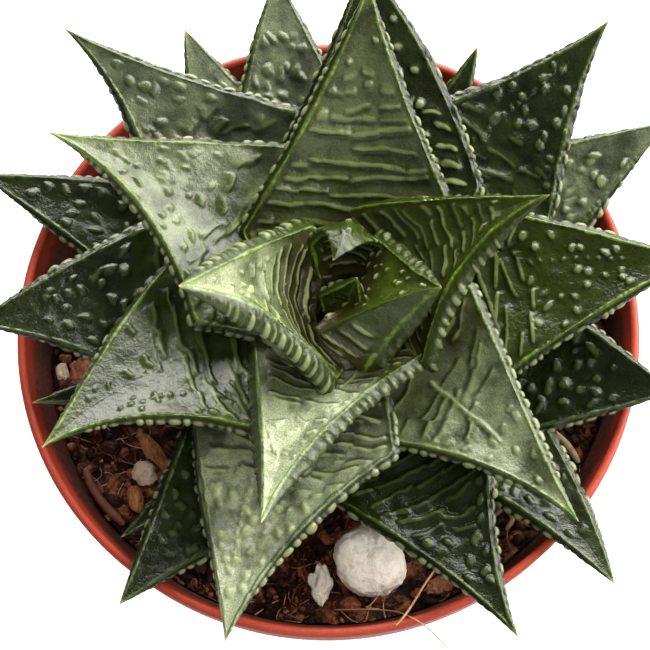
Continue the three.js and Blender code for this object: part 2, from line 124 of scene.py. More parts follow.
# bands: how far the flesh stands out beyond the left and right crest lines, in mm; drop: how far it falls
# there; ridge: height of the ridges against the usual one; pitch: the same for their distance; broken: where
# along the blade they turn into warts; bare: where the smooth tip starts; sparse: how few warts there are;
# bow and lean: how the ridges curve and slant; wander: how uneven they are; keels: rows of knobs along the
# blade, each with its start, end, place, height and gap; cup: depth of the channel against the table's;
# ridge_at, ridge_height and ridge_cup: a fold that stands up over the line between the crests, with its
# channel; keel_edge: how square the underside is; lobes and lobe_width: how far the margin's lobes stand out
# and how much of the margin they fill; wart: radius of the warts in mm; tone: lighter or darker flesh, the
# lighter partly wax and partly painted sheen, the darker partly its own colour and partly painted shade;
# ripe: how pale the ridge tops are, partly their own colour and partly a painted highlight; lumpy: how
# uneven the ground between them is.
LOOK_DEFAULTS = {
    "bands": (1.15, 1.15), "drop": 1.1, "ridge": 1.0, "pitch": 1.0, "broken": 0.46, "bare": 0.84,
    "sparse": 0.3, "bow": -0.10, "lean": 0.0, "wander": 0.75, "keels": (), "cup": 1.0, "ridge_at": 0.0,
    "ridge_height": 0.0, "ridge_cup": 0.0, "keel_edge": 2.0, "lobes": 1.0, "lobe_width": 0.5, "wart": 0.72,
    "tone": 0.0, "ripe": 0.6, "lumpy": 0.10,
}
TIER_LOOKS = {
    "bud": {"bands": (0.8, 0.8), "drop": 0.7, "ridge": 0.7, "pitch": 0.7, "keel_edge": 1.2, "wart": 0.4},
    "inner": {
        "bands": (2.0, 2.0), "drop": 1.7, "pitch": 0.85, "wart": 0.55, "ripe": 1.0, "lobes": 0.5,
        "lobe_width": 0.36,
    },
    "outer": {"wart": 0.92, "ridge": 1.05, "ripe": 0.15, "lumpy": 0.28},
    "lowest": {"bands": (1.1, 1.1), "drop": 1.0, "ridge": 0.7, "ripe": 0.15, "lumpy": 0.2},
}
LEAF_LOOKS = {
    "bud_leaf_1": {"keels": ((0.1, 0.9, 0.0, 0.3, 0.25),), "ridge": 0.4, "ripe": 0.4, "tone": -0.6},
    "bud_leaf_2": {
        "ripe": 0.9, "keel_edge": 1.05, "ridge": 0.8, "tone": -0.8, "lobes": 0.6, "bare": 0.96, "sparse": 0.1,
        "broken": 0.3,
    },
    "inner_leaf_1": {
        "bands": (1.8, 1.0), "ridge_at": -0.55, "ridge_height": 9.5, "ridge_cup": 2.5, "wander": 0.3,
        "bow": 0.2, "tone": -0.4,
    },
    "inner_leaf_2": {"bands": (2.8, 2.6), "drop": 2.4, "cup": 1.15, "tone": 1.1, "lobes": 0.8},
    "inner_leaf_3": {
        "bands": (1.2, 2.2), "drop": 2.0, "broken": 0.8, "bare": 0.75, "tone": -1.0, "lobes": 0.6,
        "ripe": 0.5, "ridge": 0.8,
    },
    "inner_leaf_4": {
        "bands": (1.9, 2.2), "drop": 1.9, "broken": 0.48, "ridge": 0.7, "tone": 2.6, "wart": 0.45,
        "bare": 0.8, "keels": ((0.16, 0.34, 0.45, 0.4, 0.4),),
    },
    "middle_leaf_1": {"ripe": 0.4, "broken": 0.62, "wander": 0.5, "bow": 0.0, "tone": 0.2},
    "middle_leaf_2": {"ripe": 0.1, "broken": 0.40, "tone": 0.55},
    "middle_leaf_3": {
        "keels": ((0.28, 0.62, -0.05, 0.6, 0.4),), "lean": -0.35, "tone": 0.65, "broken": 0.5,
        "ripe": 0.45, "ridge": 0.8,
    },
    "middle_leaf_4": {
        "keels": ((0.42, 0.75, 0.5, 0.35, 1.7),), "lean": 0.2, "ripe": 0.35, "wart": 0.5, "sparse": 0.5,
        "broken": 0.55, "tone": 0.1, "ridge": 0.8,
    },
    "middle_leaf_5": {
        "keels": ((0.3, 0.8, 0.35, 0.35, 1.9),), "tone": -0.4, "ripe": 0.4, "broken": 0.42, "wander": 0.4,
        "bow": 0.0,
    },
    "outer_leaf_1": {"tone": -0.3, "ripe": 0.8},
    "outer_leaf_2": {"keels": ((0.5, 0.8, 0.35, 0.4, 1.6),)},
    "outer_leaf_3": {
        "keels": ((0.45, 0.75, -0.3, 0.45, 1.5), (0.5, 0.7, 0.3, 0.4, 1.6)), "tone": 2.2, "ripe": 1.0,
    },
    "outer_leaf_4": {"broken": 0.6, "tone": -0.4},
    "outer_leaf_5": {"tone": 0.3},
    "outer_leaf_7": {"tone": -1.0},
    "outer_leaf_8": {"tone": 0.5},
    "outer_leaf_10": {"tone": 0.5, "ripe": 0.6},
    "outer_leaf_12": {"keels": ((0.4, 0.7, 0.0, 0.5, 1.6),), "tone": 0.1},
    "lowest_leaf_1": {"tone": 1.6},
}


# ---- Settings that a user would change ----


def length_setting(name, description, default):
    return FloatProperty(name=name, description=description, default=default, unit="LENGTH")


def plain_setting(name, description, default):
    return FloatProperty(name=name, description=description, default=default)


def angle_setting(name, description, degrees):
    return FloatProperty(name=name, description=description, default=math.radians(degrees), subtype="ANGLE")


def count_setting(name, description, default, smallest=0):
    return IntProperty(name=name, description=description, default=default, min=smallest)


def colour_setting(name, description, default):
    return FloatVectorProperty(
        name=name, description=description, default=default, subtype="COLOR", min=0, max=1,
    )


class PotSettings(bpy.types.PropertyGroup):
    """Sizes and colour of the nursery pot"""

    wall: length_setting("Wall", "Thickness of the wall", 0.0011)
    collar: length_setting("Collar", "Height of the stiff band", 0.008)
    lip: length_setting("Lip", "Width of the lip seen from above", 0.0015)
    segments: count_setting("Segments", "Steps round the pot", 192, 32)
    colour: colour_setting("Colour", "Colour of the plastic", (0.35, 0.040, 0.018))


class LeafSettings(bpy.types.PropertyGroup):
    """Relief and colours of the leaves"""

    pitch: length_setting("Ridge pitch", "From ridge to ridge", 0.0025)
    height: length_setting("Ridge height", "Height of a ridge", 0.00055)
    lobe_pitch: length_setting("Lobe pitch", "From lobe to lobe", 0.0018)
    lobe: length_setting("Lobe", "How far a lobe stands out", 0.0005)
    young: colour_setting("Young", "Flesh of the inner leaves", (0.028, 0.042, 0.0035))
    mature: colour_setting("Mature", "Flesh of the middle leaves", (0.015, 0.022, 0.003))
    old: colour_setting("Old", "Flesh of the outer leaves", (0.0085, 0.0125, 0.003))
    crest: colour_setting("Crest", "The clear green line along a leaf's margin", (0.125, 0.200, 0.020))
    # Ridge tops in this colour are partly their own pale and partly a painted highlight.
    pale: colour_setting("Pale", "Lobes and ridge tops", (0.30, 0.34, 0.15))


class MixSettings(bpy.types.PropertyGroup):
    """The potting mix and what lies in it"""

    level: length_setting("Level", "Height at the wall", 0.0795)
    crumbs: count_setting("Crumbs", "How many crumbs lie on the mix", 2480)
    chips: count_setting("Chips", "How many bark chips lie on it", 420)
    hairs: count_setting("Hairs", "How many short fibres stick out of it", 640)
    dark: colour_setting("Dark", "Damp peat", (0.020, 0.0080, 0.0045))
    red: colour_setting("Red", "Coir pith and bark", (0.30, 0.095, 0.042))
    fibre: colour_setting("Fibre", "Coir fibre", (0.60, 0.33, 0.15))


class StageSettings(bpy.types.PropertyGroup):
    """Camera and light"""

    distance: length_setting("Distance", "From camera to target", 0.4)
    elevation: angle_setting("Elevation", "Camera above the horizon", 71.93)
    roll: angle_setting("Roll", "How far the camera is turned", 4.26)
    focal_pixels: plain_setting("Focal length", "In pixels of the picture", 2372.6)
    floor: colour_setting("Floor", "Colour of the floor", (0.55, 0.55, 0.55))
    glow: plain_setting("Glow", "How bright the floor looks to the camera by itself", 0.85)
    key: plain_setting("Key light", "Strength of the windows behind", 36.0)
    top: plain_setting("Top light", "Strength of the light overhead", 10.0)
    front: plain_setting("Front light", "Strength of the pale card in front", 5.0)
    sky: plain_setting("Sky", "Strength of the light from all round", 0.12)


# ---- Small helpers ----


def random_stream(seed):
    return np.random.default_rng(seed)


def shade(colour, factor):
    """The colour made lighter or darker by a factor."""
    return tuple(factor * part for part in colour)


NOISE_TURN = np.array(Matrix.Rotation(0.9, 3, Vector((0.5, 0.7, 0.4))))
HASH_STEPS = (374761393, 668265263, 2147483647)
HASH_FACTOR = 1274126177
HASH_BITS = 0xFFFFFFFF
LOW_BITS = 0xFFFF


def lattice_noise(points, seed):
    """Smooth noise from -1 to 1 at each row of points, one bump to a unit.

    Its lattice is turned off the axes.
    """
    points = points @ NOISE_TURN
    cell = np.floor(points).astype(np.int64)
    part = points - cell
    part = part * part * (3.0 - 2.0 * part)
    total = np.zeros(points.shape[:-1])
    for corner in np.ndindex(2, 2, 2):
        x, y, z = (cell[..., axis] + corner[axis] for axis in range(3))
        code = x * HASH_STEPS[0] + y * HASH_STEPS[1] + z * HASH_STEPS[2] + seed * HASH_FACTOR
        code = code & HASH_BITS
        code = ((code ^ (code >> 13)) * HASH_FACTOR) & HASH_BITS
        code = code ^ (code >> 16)
        weight = np.ones(points.shape[:-1])
        for axis in range(3):
            weight = weight * (part[..., axis] if corner[axis] else 1.0 - part[..., axis])
        total += weight * ((code & LOW_BITS) / (0.5 * LOW_BITS) - 1.0)
    return total


def layered_noise(points, seed, layers, falloff=0.5):
    """Noise at several scales, each twice as fine as the one before it."""
    total = np.zeros(points.shape[:-1])
    for layer in range(layers):
        total += falloff ** layer * lattice_noise(points * 2.0 ** layer, seed + 31 * layer)
    return total


def smoothstep(low, high, value):
    x = np.clip((value - low) / (high - low), 0.0, 1.0)
    return x * x * (3.0 - 2.0 * x)


def scene_object(name, mesh, node=None, smooth=True):
    """Puts a finished mesh in the scene, on the plant's only body."""
    for polygon in mesh.polygons:
        polygon.use_smooth = smooth
    piece = bpy.data.objects.new(name, mesh)
    bpy.context.scene.collection.objects.link(piece)
    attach(piece, "root")
    if node:
        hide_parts(node)
    return piece


def mesh_from(bm, name):
    bmesh.ops.recalc_face_normals(bm, faces=bm.faces)
    mesh = bpy.data.meshes.new(name)
    bm.to_mesh(mesh)
    bm.free()
    return mesh


CAPSULES = {}


def capsule(name, rows, columns):
    """A closed ball with a pole at each end.

    Returns the mesh and each vertex's row and column, so that a formula can bend it.
    """
    if (rows, columns) not in CAPSULES:
        bm = bmesh.new()
        bmesh.ops.create_uvsphere(bm, u_segments=columns, v_segments=rows, radius=1.0)
        ball = mesh_from(bm, "capsule_template")
        places = vertex_places(ball).astype(float)
        row = np.rint(np.arccos(np.clip(places[:, 2], -1.0, 1.0)) / math.pi * rows).astype(int)
        angle = np.arctan2(places[:, 1], places[:, 0])
        column = np.rint(angle / (2 * math.pi) * columns).astype(int) % columns
        CAPSULES[rows, columns] = (ball, row, column)
    ball, row, column = CAPSULES[rows, columns]
    mesh = ball.copy()
    mesh.name = name
    return mesh, row, column


def vertex_places(mesh):
    places = np.empty(len(mesh.vertices) * 3, dtype=np.float32)
    mesh.vertices.foreach_get("co", places)
    return places.reshape(-1, 3)


def place_vertices(mesh, places):
    """Moves every vertex, and keeps the faces pointing out."""
    mesh.vertices.foreach_set("co", np.ascontiguousarray(places, dtype=np.float32).ravel())
    bm = bmesh.new()
    bm.from_mesh(mesh)
    bmesh.ops.recalc_face_normals(bm, faces=bm.faces)
    bm.to_mesh(mesh)
    bm.free()
    mesh.update()


COPY_STEP = 10.0


def repeated(mesh, count):
    """A mesh that holds the given one many times, COPY_STEP apart along X."""
    holder = bpy.data.objects.new("template", mesh)
    bpy.context.scene.collection.objects.link(holder)
    array = holder.modifiers.new("copies", "ARRAY")
    array.count = count
    array.use_relative_offset = False
    array.use_constant_offset = True
    array.constant_offset_displace = (COPY_STEP, 0, 0)
    graph = bpy.context.evaluated_depsgraph_get()
    copies = bpy.data.meshes.new_from_object(holder.evaluated_get(graph))
    bpy.data.objects.remove(holder)
    return copies


def paint(mesh, name, values):
    """Stores one number for each vertex, for a material to read."""
    layer = mesh.attributes.new(name, "FLOAT", "POINT")
    layer.data.foreach_set("value", np.ascontiguousarray(values, dtype=np.float32))


# ---- Node helpers and shared node groups ----


NODE_STEP = 180


class Nodes:
    """Adds nodes to a tree and joins them, from left to right."""

    def __init__(self, tree):
        self.tree = tree
        self.column = 0

    def add(self, kind, **values):
        node = self.tree.nodes.new(kind)
        node.location = (self.column, 0)
        self.column += NODE_STEP
        for key, value in values.items():
            setattr(node, key, value)
        return node

    def join(self, source, target):
        self.tree.links.new(source, target)

    def feed(self, socket, value):
        """Joins a socket to the input, or sets the input to a constant."""
        if isinstance(value, bpy.types.NodeSocket):
            self.join(value, socket)
        elif isinstance(value, (tuple, list)) and len(value) == 3 and socket.type == "RGBA":
            socket.default_value = (*value, 1.0)
        else:
            socket.default_value = value

    def fill(self, node, **values):
        """Feeds several inputs of a node; an underscore in a name stands for a space."""
        for key, value in values.items():
            self.feed(node.inputs[key.replace("_", " ")], value)

    def math(self, operation, a, b=0.0, clamp=False):
        node = self.add("ShaderNodeMath", operation=operation, use_clamp=clamp)
        self.feed(node.inputs[0], a)
        self.feed(node.inputs[1], b)
        return node.outputs[0]

    def times(self, a, b, clamp=False):
        return self.math("MULTIPLY", a, b, clamp)

    def mix(self, factor, a, b):
        node = self.add("ShaderNodeMix", data_type="RGBA")
        self.feed(node.inputs["Factor"], factor)
        self.feed(node.inputs[6], a)
        self.feed(node.inputs[7], b)
        return node.outputs[2]

    def ramp(self, value, low, high, to_low=0.0, to_high=1.0):
        node = self.add("ShaderNodeMapRange", interpolation_type="SMOOTHSTEP")
        self.fill(node, Value=value, From_Min=low, From_Max=high, To_Min=to_low, To_Max=to_high)
        return node.outputs["Result"]

    def noise(self, vector, scale, detail, roughness, distortion=0.0):
        node = self.add("ShaderNodeTexNoise")
        self.fill(node, Vector=vector, Scale=scale, Detail=detail, Roughness=roughness, Distortion=distortion)
        return node.outputs["Fac"]

    def painted(self, name):
        return self.add("ShaderNodeAttribute", attribute_type="GEOMETRY", attribute_name=name).outputs["Fac"]

    def object_place(self):
        return self.add("ShaderNodeTexCoord").outputs["Object"]

    def bump(self, height, distance, strength, normal=None):
        node = self.add("ShaderNodeBump")
        self.fill(node, Height=height, Distance=distance, Strength=strength)
        if normal:
            self.join(normal, node.inputs["Normal"])
        return node.outputs["Normal"]

    def use_group(self, group, **values):
        node = self.add("ShaderNodeGroup")
        node.node_tree = group
        self.fill(node, **values)
        return node


def new_group(name, inputs, outputs):
    """An empty node group with its sockets, ready for its nodes."""
    group = bpy.data.node_groups.new(name, "ShaderNodeTree")
    for socket_name, kind, default in inputs:
        socket = group.interface.new_socket(name=socket_name, in_out="INPUT", socket_type=kind)
        if default is not None:
            socket.default_value = default
    for socket_name, kind in outputs:
        group.interface.new_socket(name=socket_name, in_out="OUTPUT", socket_type=kind)
    nodes = Nodes(group)
    entry = nodes.add("NodeGroupInput")
    leave = nodes.add("NodeGroupOutput")
    return group, nodes, entry, leave


def shared_group(name, build):
    """Builds a node group the first time that a material asks for it."""
    return bpy.data.node_groups.get(name) or build(name)


def build_fine_grain(name):
    """Grain at a chosen scale: a mask for colour and a height for bump."""
    group, nodes, entry, leave = new_group(
        name,
        [("Vector", "NodeSocketVector", None), ("Scale", "NodeSocketFloat", 1000.0)],
        [("Mask", "NodeSocketFloat"), ("Height", "NodeSocketFloat")],
    )
    fine = nodes.noise(entry.outputs["Vector"], entry.outputs["Scale"], 3.0, 0.62)
    nodes.fill(leave, Mask=nodes.ramp(fine, 0.42, 0.66), Height=fine)
    return group


def build_soil_dust(name):
    """Dust of the mix that clings to a surface: stronger where Amount is high, broken up by noise."""
    group, nodes, entry, leave = new_group(
        name,
        [("Vector", "NodeSocketVector", None), ("Amount", "NodeSocketFloat", 0.3)],
        [("Mask", "NodeSocketFloat")],
    )
    cloud = nodes.noise(entry.outputs["Vector"], 260.0, 5.0, 0.65)
    specks = nodes.noise(entry.outputs["Vector"], 1500.0, 2.0, 0.5)
    both = nodes.math("ADD", nodes.times(cloud, 0.6), nodes.times(specks, 0.4))
    level = nodes.math("SUBTRACT", 1.0, entry.outputs["Amount"])
    above = nodes.math("SUBTRACT", both, nodes.times(level, 0.7))
    nodes.fill(leave, Mask=nodes.times(above, 5.0, clamp=True))
    return group


def new_material(name):
    """A material with its node helper and its shader."""
    material = bpy.data.materials.new(name)
    material.use_nodes = True
    nodes = Nodes(material.node_tree)
    shader = material.node_tree.nodes["Principled BSDF"]
    return material, nodes, shader


def grain_of(nodes, place, scale):
    return nodes.use_group(shared_group("fine_grain", build_fine_grain), Vector=place, Scale=scale)


# ---- Materials ----

# A grey-green that is partly the wax of some leaves and partly painted sheen.
WAX_AND_SHEEN_DULL = (0.23, 0.265, 0.145)
WAX_AND_SHEEN_BRIGHT = (0.48, 0.52, 0.365)
# Darker, browner flesh near the base.
BASE_BROWN = (0.030, 0.022, 0.006)
# Painted shade in the hollows behind the ridges.
HOLLOW_SHADE_GREEN = (0.007, 0.012, 0.002)
TANNED_TIP = (0.30, 0.22, 0.10)
SCUFF_PINK = (0.62, 0.22, 0.15)
# Painted shade deep inside the pot.
INNER_SHADE_PLASTIC = (0.075, 0.014, 0.008)
DUST_BROWN = (0.05, 0.022, 0.014)
STRAW = (0.50, 0.25, 0.12)
BLACK = (0.0, 0.0, 0.0)
WHITE = (1.0, 1.0, 1.0)
# How deep the bumps of a material are, in metres.
GRAIN_BUMP = 0.00006
WRINKLE_BUMP = 0.00012
BLOTCH_BUMP = 0.0004


def flesh_colour(nodes, grain, cloud, blotch, along, flesh, base_darkening):
    """The blade between its ridges: clouded flesh, turned grey-green where its tone is high, partly by wax
    and partly by painted sheen, darkened where its tone is low, partly as painted shade, and darker and
    browner near the base.
    """
    deep = shade(flesh, 0.55)
    light = shade(flesh, 1.6)
    body = nodes.mix(nodes.ramp(cloud, 0.35, 0.7), deep, light)
    body = nodes.mix(nodes.ramp(blotch, 0.45, 0.7, 0.0, 0.35), body, light)
    # Where the tone is high, the flesh turns to a grey-green that is partly wax and partly painted sheen,
    # with less of it near the base.
    wax_and_sheen_share = nodes.times(nodes.painted("tone"), nodes.ramp(cloud, 0.32, 0.68, 0.15, 0.8), clamp=True)
    wax_and_sheen_share = nodes.times(wax_and_sheen_share, nodes.ramp(along, 0.15, 0.6, 0.35, 1.0))
    wax_and_sheen = nodes.mix(grain.outputs["Mask"], WAX_AND_SHEEN_DULL, WAX_AND_SHEEN_BRIGHT)
    body = nodes.mix(wax_and_sheen_share, body, wax_and_sheen)
    # Where the tone is low, the flesh darkens, partly its own colour and partly painted shade.
    dark_flesh_and_shade = nodes.times(nodes.painted("tone"), -1.0, clamp=True)
    body = nodes.mix(dark_flesh_and_shade, body, deep)
    body = nodes.mix(nodes.times(grain.outputs["Mask"], 0.25), body, shade(flesh, 2.6))
    # Darker and browner towards the base.
    base_dark = nodes.times(nodes.ramp(along, 0.45, 0.08), base_darkening)
    return nodes.mix(base_dark, body, BASE_BROWN)


def ridge_colours(nodes, body, flesh, crest, pale):
    """Paler tops on the ridges, partly their own colour and partly a painted highlight, and painted shade in
    deep green in the grooves behind them.
    """
    unripe = tuple(0.55 * a + 0.3 * b for a, b in zip(crest, shade(flesh, 1.6)))
    # Pale ridge tops: partly their own colour, partly a painted highlight.
    top_colour = nodes.mix(nodes.painted("ripe"), unripe, pale)
    strength = nodes.math("ADD", nodes.times(nodes.painted("ripe"), 0.45), 0.35)
    top = nodes.times(nodes.ramp(nodes.painted("tops"), 0.25, 0.9), strength)
    body = nodes.mix(top, body, top_colour)
    # Painted shade in the hollow behind each ridge.
    return nodes.mix(nodes.times(nodes.painted("groove"), 0.72, clamp=True), body, HOLLOW_SHADE_GREEN)


def margin_colours(nodes, body, blotch, flesh, crest, pale):
    """Dark flesh outside the crest line, pale lobes on it, and the clear green line itself."""
    rim = nodes.painted("rim")
    outside = nodes.times(nodes.ramp(rim, 0.1, 0.5), nodes.ramp(rim, 4.5, 3.0))
    body = nodes.mix(nodes.times(outside, 0.92), body, shade(flesh, 0.7))
    knobs = nodes.ramp(nodes.painted("lobing"), 0.13, 0.36, 0.0, 0.75)
    body = nodes.mix(knobs, body, shade(pale, 0.75))
    away = nodes.math("ABSOLUTE", nodes.math("ADD", rim, nodes.ramp(blotch, 0.3, 0.7, -0.12, 0.12)))
    line = nodes.mix(nodes.ramp(blotch, 0.4, 0.6), shade(crest, 0.45), crest)
    return nodes.mix(nodes.ramp(away, 0.30, 0.08, 0.0, 0.85), body, line)


def leaf_material(name, flesh, crest, pale, base_darkening, shine):
    """Waxy leaf flesh: grained face, clear green crest line, pale lobes and ridge tops, tanned tip, with
    painted sheen, highlights and shade.
    """
    material, nodes, shader = new_material(name)
    place = nodes.object_place()
    grain = grain_of(nodes, place, 4300.0)
    cloud = nodes.noise(place, 120.0, 3.0, 0.6)
    blotch = nodes.noise(place, 420.0, 3.0, 0.6)
    along = nodes.painted("along")
    body = flesh_colour(nodes, grain, cloud, blotch, along, flesh, base_darkening)
    body = ridge_colours(nodes, body, flesh, crest, pale)
    body = margin_colours(nodes, body, blotch, flesh, crest, pale)
    body = nodes.mix(nodes.ramp(along, 0.975, 0.997), body, TANNED_TIP)
    wrinkles = nodes.noise(place, 1300.0, 2.0, 0.55, 0.4)
    coarse = nodes.bump(wrinkles, WRINKLE_BUMP, 0.8, nodes.bump(blotch, BLOTCH_BUMP, 0.5))
    nodes.fill(
        shader, Base_Color=body, Roughness=nodes.ramp(grain.outputs["Height"], 0.3, 0.7, 0.10, 0.24),
        Specular_IOR_Level=shine, Subsurface_Weight=0.10, Subsurface_Radius=(0.6, 1.0, 0.25),
        Subsurface_Scale=0.0010, IOR=1.5, Normal=nodes.bump(grain.outputs["Height"], GRAIN_BUMP, 0.9, coarse),
    )
    return material


def plastic_material(name, colour):
    """Moulded plastic with a satin skin and faint scuffs.

    Low on the outside it has painted shade; low down inside it has painted shade and fine soil of the mix.
    """
    material, nodes, shader = new_material(name)
    place = nodes.object_place()
    grain = grain_of(nodes, place, 2400.0)
    dust = nodes.painted("dust")
    clinging = nodes.use_group(shared_group("soil_dust", build_soil_dust), Vector=place, Amount=dust)
    dusty = nodes.times(clinging.outputs["Mask"], nodes.ramp(dust, 0.02, 0.08))
    cloud = nodes.noise(place, 60.0, 3.0, 0.55)
    body = nodes.mix(nodes.ramp(cloud, 0.3, 0.7), shade(colour, 0.88), colour)
    body = nodes.mix(nodes.times(grain.outputs["Mask"], 0.10), body, SCUFF_PINK)
    # Painted shade: the outer wall is darker lower down.
    worn = nodes.times(nodes.painted("worn"), nodes.ramp(cloud, 0.3, 0.7, 0.92, 0.86))
    body = nodes.mix(worn, body, shade(colour, 0.55))
    # Painted shade deep inside the pot; the mask also sets how much soil clings there.
    body = nodes.mix(nodes.ramp(dust, 0.15, 0.4, 0.0, 0.8), body, INNER_SHADE_PLASTIC)
    body = nodes.mix(dusty, body, DUST_BROWN)
    rough = nodes.math("ADD", nodes.ramp(cloud, 0.3, 0.7, 0.42, 0.52), nodes.times(dusty, 0.35))
    nodes.fill(
        shader, Base_Color=body, Roughness=rough, Specular_IOR_Level=0.35, Subsurface_Weight=0.10,
        Subsurface_Radius=(1.0, 0.3, 0.15), Subsurface_Scale=0.001,
        Normal=nodes.bump(grain.outputs["Height"], GRAIN_BUMP, 0.6),
    )
    return material


def mix_material(name, dark, red, grain_scale):
    """Damp peat and coir pith: a painted tone picks between dark crumbs and rusty ones."""
    material, nodes, shader = new_material(name)
    place = nodes.object_place()
    grain = grain_of(nodes, place, grain_scale)
    tone = nodes.math("ADD", nodes.painted("tone"), nodes.times(grain.outputs["Mask"], 0.35))
    body = nodes.mix(nodes.ramp(tone, 0.35, 1.05), dark, red)
    body = nodes.mix(nodes.ramp(tone, 1.02, 1.3), body, STRAW)
    nodes.fill(
        shader, Base_Color=body, Roughness=nodes.ramp(grain.outputs["Height"], 0.35, 0.7, 0.42, 0.9),
        Specular_IOR_Level=0.25, Normal=nodes.bump(grain.outputs["Height"], 0.0005, 0.9),
    )
    return material


def stone_material(name, colour, pit_colour):
    """Chalky stone: soft stains, darker pits and a fine tooth."""
    material, nodes, shader = new_material(name)
    place = nodes.object_place()
    grain = grain_of(nodes, place, 1900.0)
    stain = nodes.noise(place, 230.0, 4.0, 0.6)
    body = nodes.mix(nodes.ramp(stain, 0.42, 0.72), colour, shade(colour, 0.72))
    body = nodes.mix(nodes.times(grain.outputs["Mask"], 0.35), body, pit_colour)
    body = nodes.mix(nodes.painted("pit"), body, pit_colour)
    coarse = nodes.bump(stain, 0.0012, 0.5)
    normal = nodes.bump(grain.outputs["Height"], 0.0003, 0.8, coarse)
    nodes.fill(shader, Base_Color=body, Roughness=0.85, Normal=normal)
    return material


def strand_material(name, colour):
    """Dry fibre or rootlet: streaked along its length, with darker flecks."""
    material, nodes, shader = new_material(name)
    place = nodes.object_place()
    streak = nodes.noise(place, 900.0, 4.0, 0.6)
    flecks = nodes.noise(place, 380.0, 2.0, 0.5)
    body = nodes.mix(nodes.ramp(streak, 0.35, 0.7), shade(colour, 0.62), colour)
    body = nodes.mix(nodes.ramp(flecks, 0.6, 0.75, 0.0, 0.6), body, shade(colour, 0.35))
    nodes.fill(shader, Base_Color=body, Roughness=0.55, Normal=nodes.bump(streak, 0.0002, 0.6))
    return material


def bark_material(name, dark, light):
    """Broken bark: long fibres in rust and brown, with darker patches."""
    material, nodes, shader = new_material(name)
    place = nodes.object_place()
    turned = nodes.add("ShaderNodeMapping", vector_type="POINT")
    nodes.fill(turned, Vector=place, Scale=(1.0, 0.28, 1.0))
    fibres = nodes.noise(turned.outputs["Vector"], 1300.0, 4.0, 0.65)
    patch = nodes.noise(place, 300.0, 3.0, 0.6)
    body = nodes.mix(nodes.ramp(fibres, 0.35, 0.68), dark, light)
    body = nodes.mix(nodes.ramp(patch, 0.55, 0.75, 0.0, 0.7), body, shade(dark, 0.4))
    nodes.fill(shader, Base_Color=body, Roughness=0.8, Normal=nodes.bump(fibres, 0.0006, 0.9))
    return material


# ---- Shape of one leaf, in millimetres ----


class Leaf:
    """One row of the table, with the values that its tier shares."""

    def __init__(self, index, row):
        for column, value in zip(LEAF_COLUMNS, row):
            setattr(self, column, value)
        self.tier = self.name.split("_")[0]
        self.seed = 101 + 17 * index
        self.foot_radius = FOOT_RADIUS.get(self.name) or FOOT_RADIUS[self.tier]
        self.clasp = CLASP[self.tier]

    def frames(self, t):
        """Forward, left and up directions of the blade at each t, from 0 at the base to 1 at the tip."""
        slope = np.radians(self.rise + self.curl * t)
        heading = np.radians(self.turn + self.bend * (t - 0.5))
        lean = math.radians(self.roll)
        forward = np.stack(
            [np.cos(slope) * np.cos(heading), np.cos(slope) * np.sin(heading), np.sin(slope)], axis=-1,
        )
        level = np.stack([-np.sin(heading), np.cos(heading), np.zeros_like(t)], axis=-1)
        side = level * math.cos(lean) + np.cross(forward, level) * math.sin(lean)
        return forward, side, np.cross(forward, side)

    def spine(self, t):
        """Places along the blade's middle, added up from the base."""
        start = math.radians(self.turn - self.bend / 2)
        x = STEM_AXIS[0] + self.foot_radius * math.cos(start)
        y = STEM_AXIS[1] + self.foot_radius * math.sin(start)
        steps = np.linspace(0.0, 1.0, SPINE_STEPS + 1)
        forward = self.frames(0.5 * (steps[1:] + steps[:-1]))[0]
        walked = np.cumsum(forward, axis=0) * self.length / SPINE_STEPS
        places = np.vstack([[0.0, 0.0, 0.0], walked]) + (x, y, self.foot)
        return np.stack([np.interp(t, steps, places[:, axis]) for axis in range(3)], axis=-1)

    def half_width(self, t):
        """Half the distance between the crest lines, in mm."""
        to_tip = ((1 - t) / (1 - self.widest)) ** self.taper
        to_base = self.clasp + (1.1 - self.clasp) * (t / self.widest) ** 0.9
        mix = np.clip(0.5 + 0.5 * (to_base - to_tip) / BROADEST_ROUNDING, 0, 1)
        blended = to_base * (1 - mix) + to_tip * mix - 0.5 * BROADEST_ROUNDING * mix * (1 - mix)
        return 0.5 * self.width * np.maximum(blended, 0)


def along_stations(leaf, rows):
    """Where each ring lies: few rings where the blade is hidden, and the last ones close together."""
    hidden = HIDDEN[leaf.tier]
    even = np.linspace(0.0, 1.0, rows + 1)
    return np.interp(even, [0.0, 0.35 * hidden, 0.985, 1.0], [0.0, hidden, 0.997, 1.0])


def section_columns(fineness):
    """Zone and share round the section, from the right crest over the upper face and back underneath."""
    face = round(92 * fineness)
    under = round(64 * fineness)
    band = round(9 * fineness)
    zones = [("face", x) for x in np.linspace(-1.0, 1.0, face + 1)]
    zones += [("left", x) for x in np.linspace(0.0, 1.0, band + 1)[1:]]
    zones += [("under", x) for x in np.linspace(1.0, -1.0, under + 1)[1:]]
    zones += [("right", x) for x in np.linspace(1.0, 0.0, band + 1)[1:-1]]
    return zones


def crowded(share):
    """Moves evenly spread shares towards both ends, where the crest lines need more points."""
    return share * (1.0 + 0.22 * (1.0 - share * share))


def fold_spans(look, room, t):
    """Where ridges lie on a folded face: arcs outside the fold near the base, and warts on its inner side."""
    peak = look.ridge_at * room
    outer = 0.0 if t < 0.5 else 1.0
    if peak > 0:
        return (-room, peak - 1.1, 1.0), (peak + 1.1, room, outer)
    return (-room, peak - 1.1, outer), (peak + 1.1, room, 1.0)


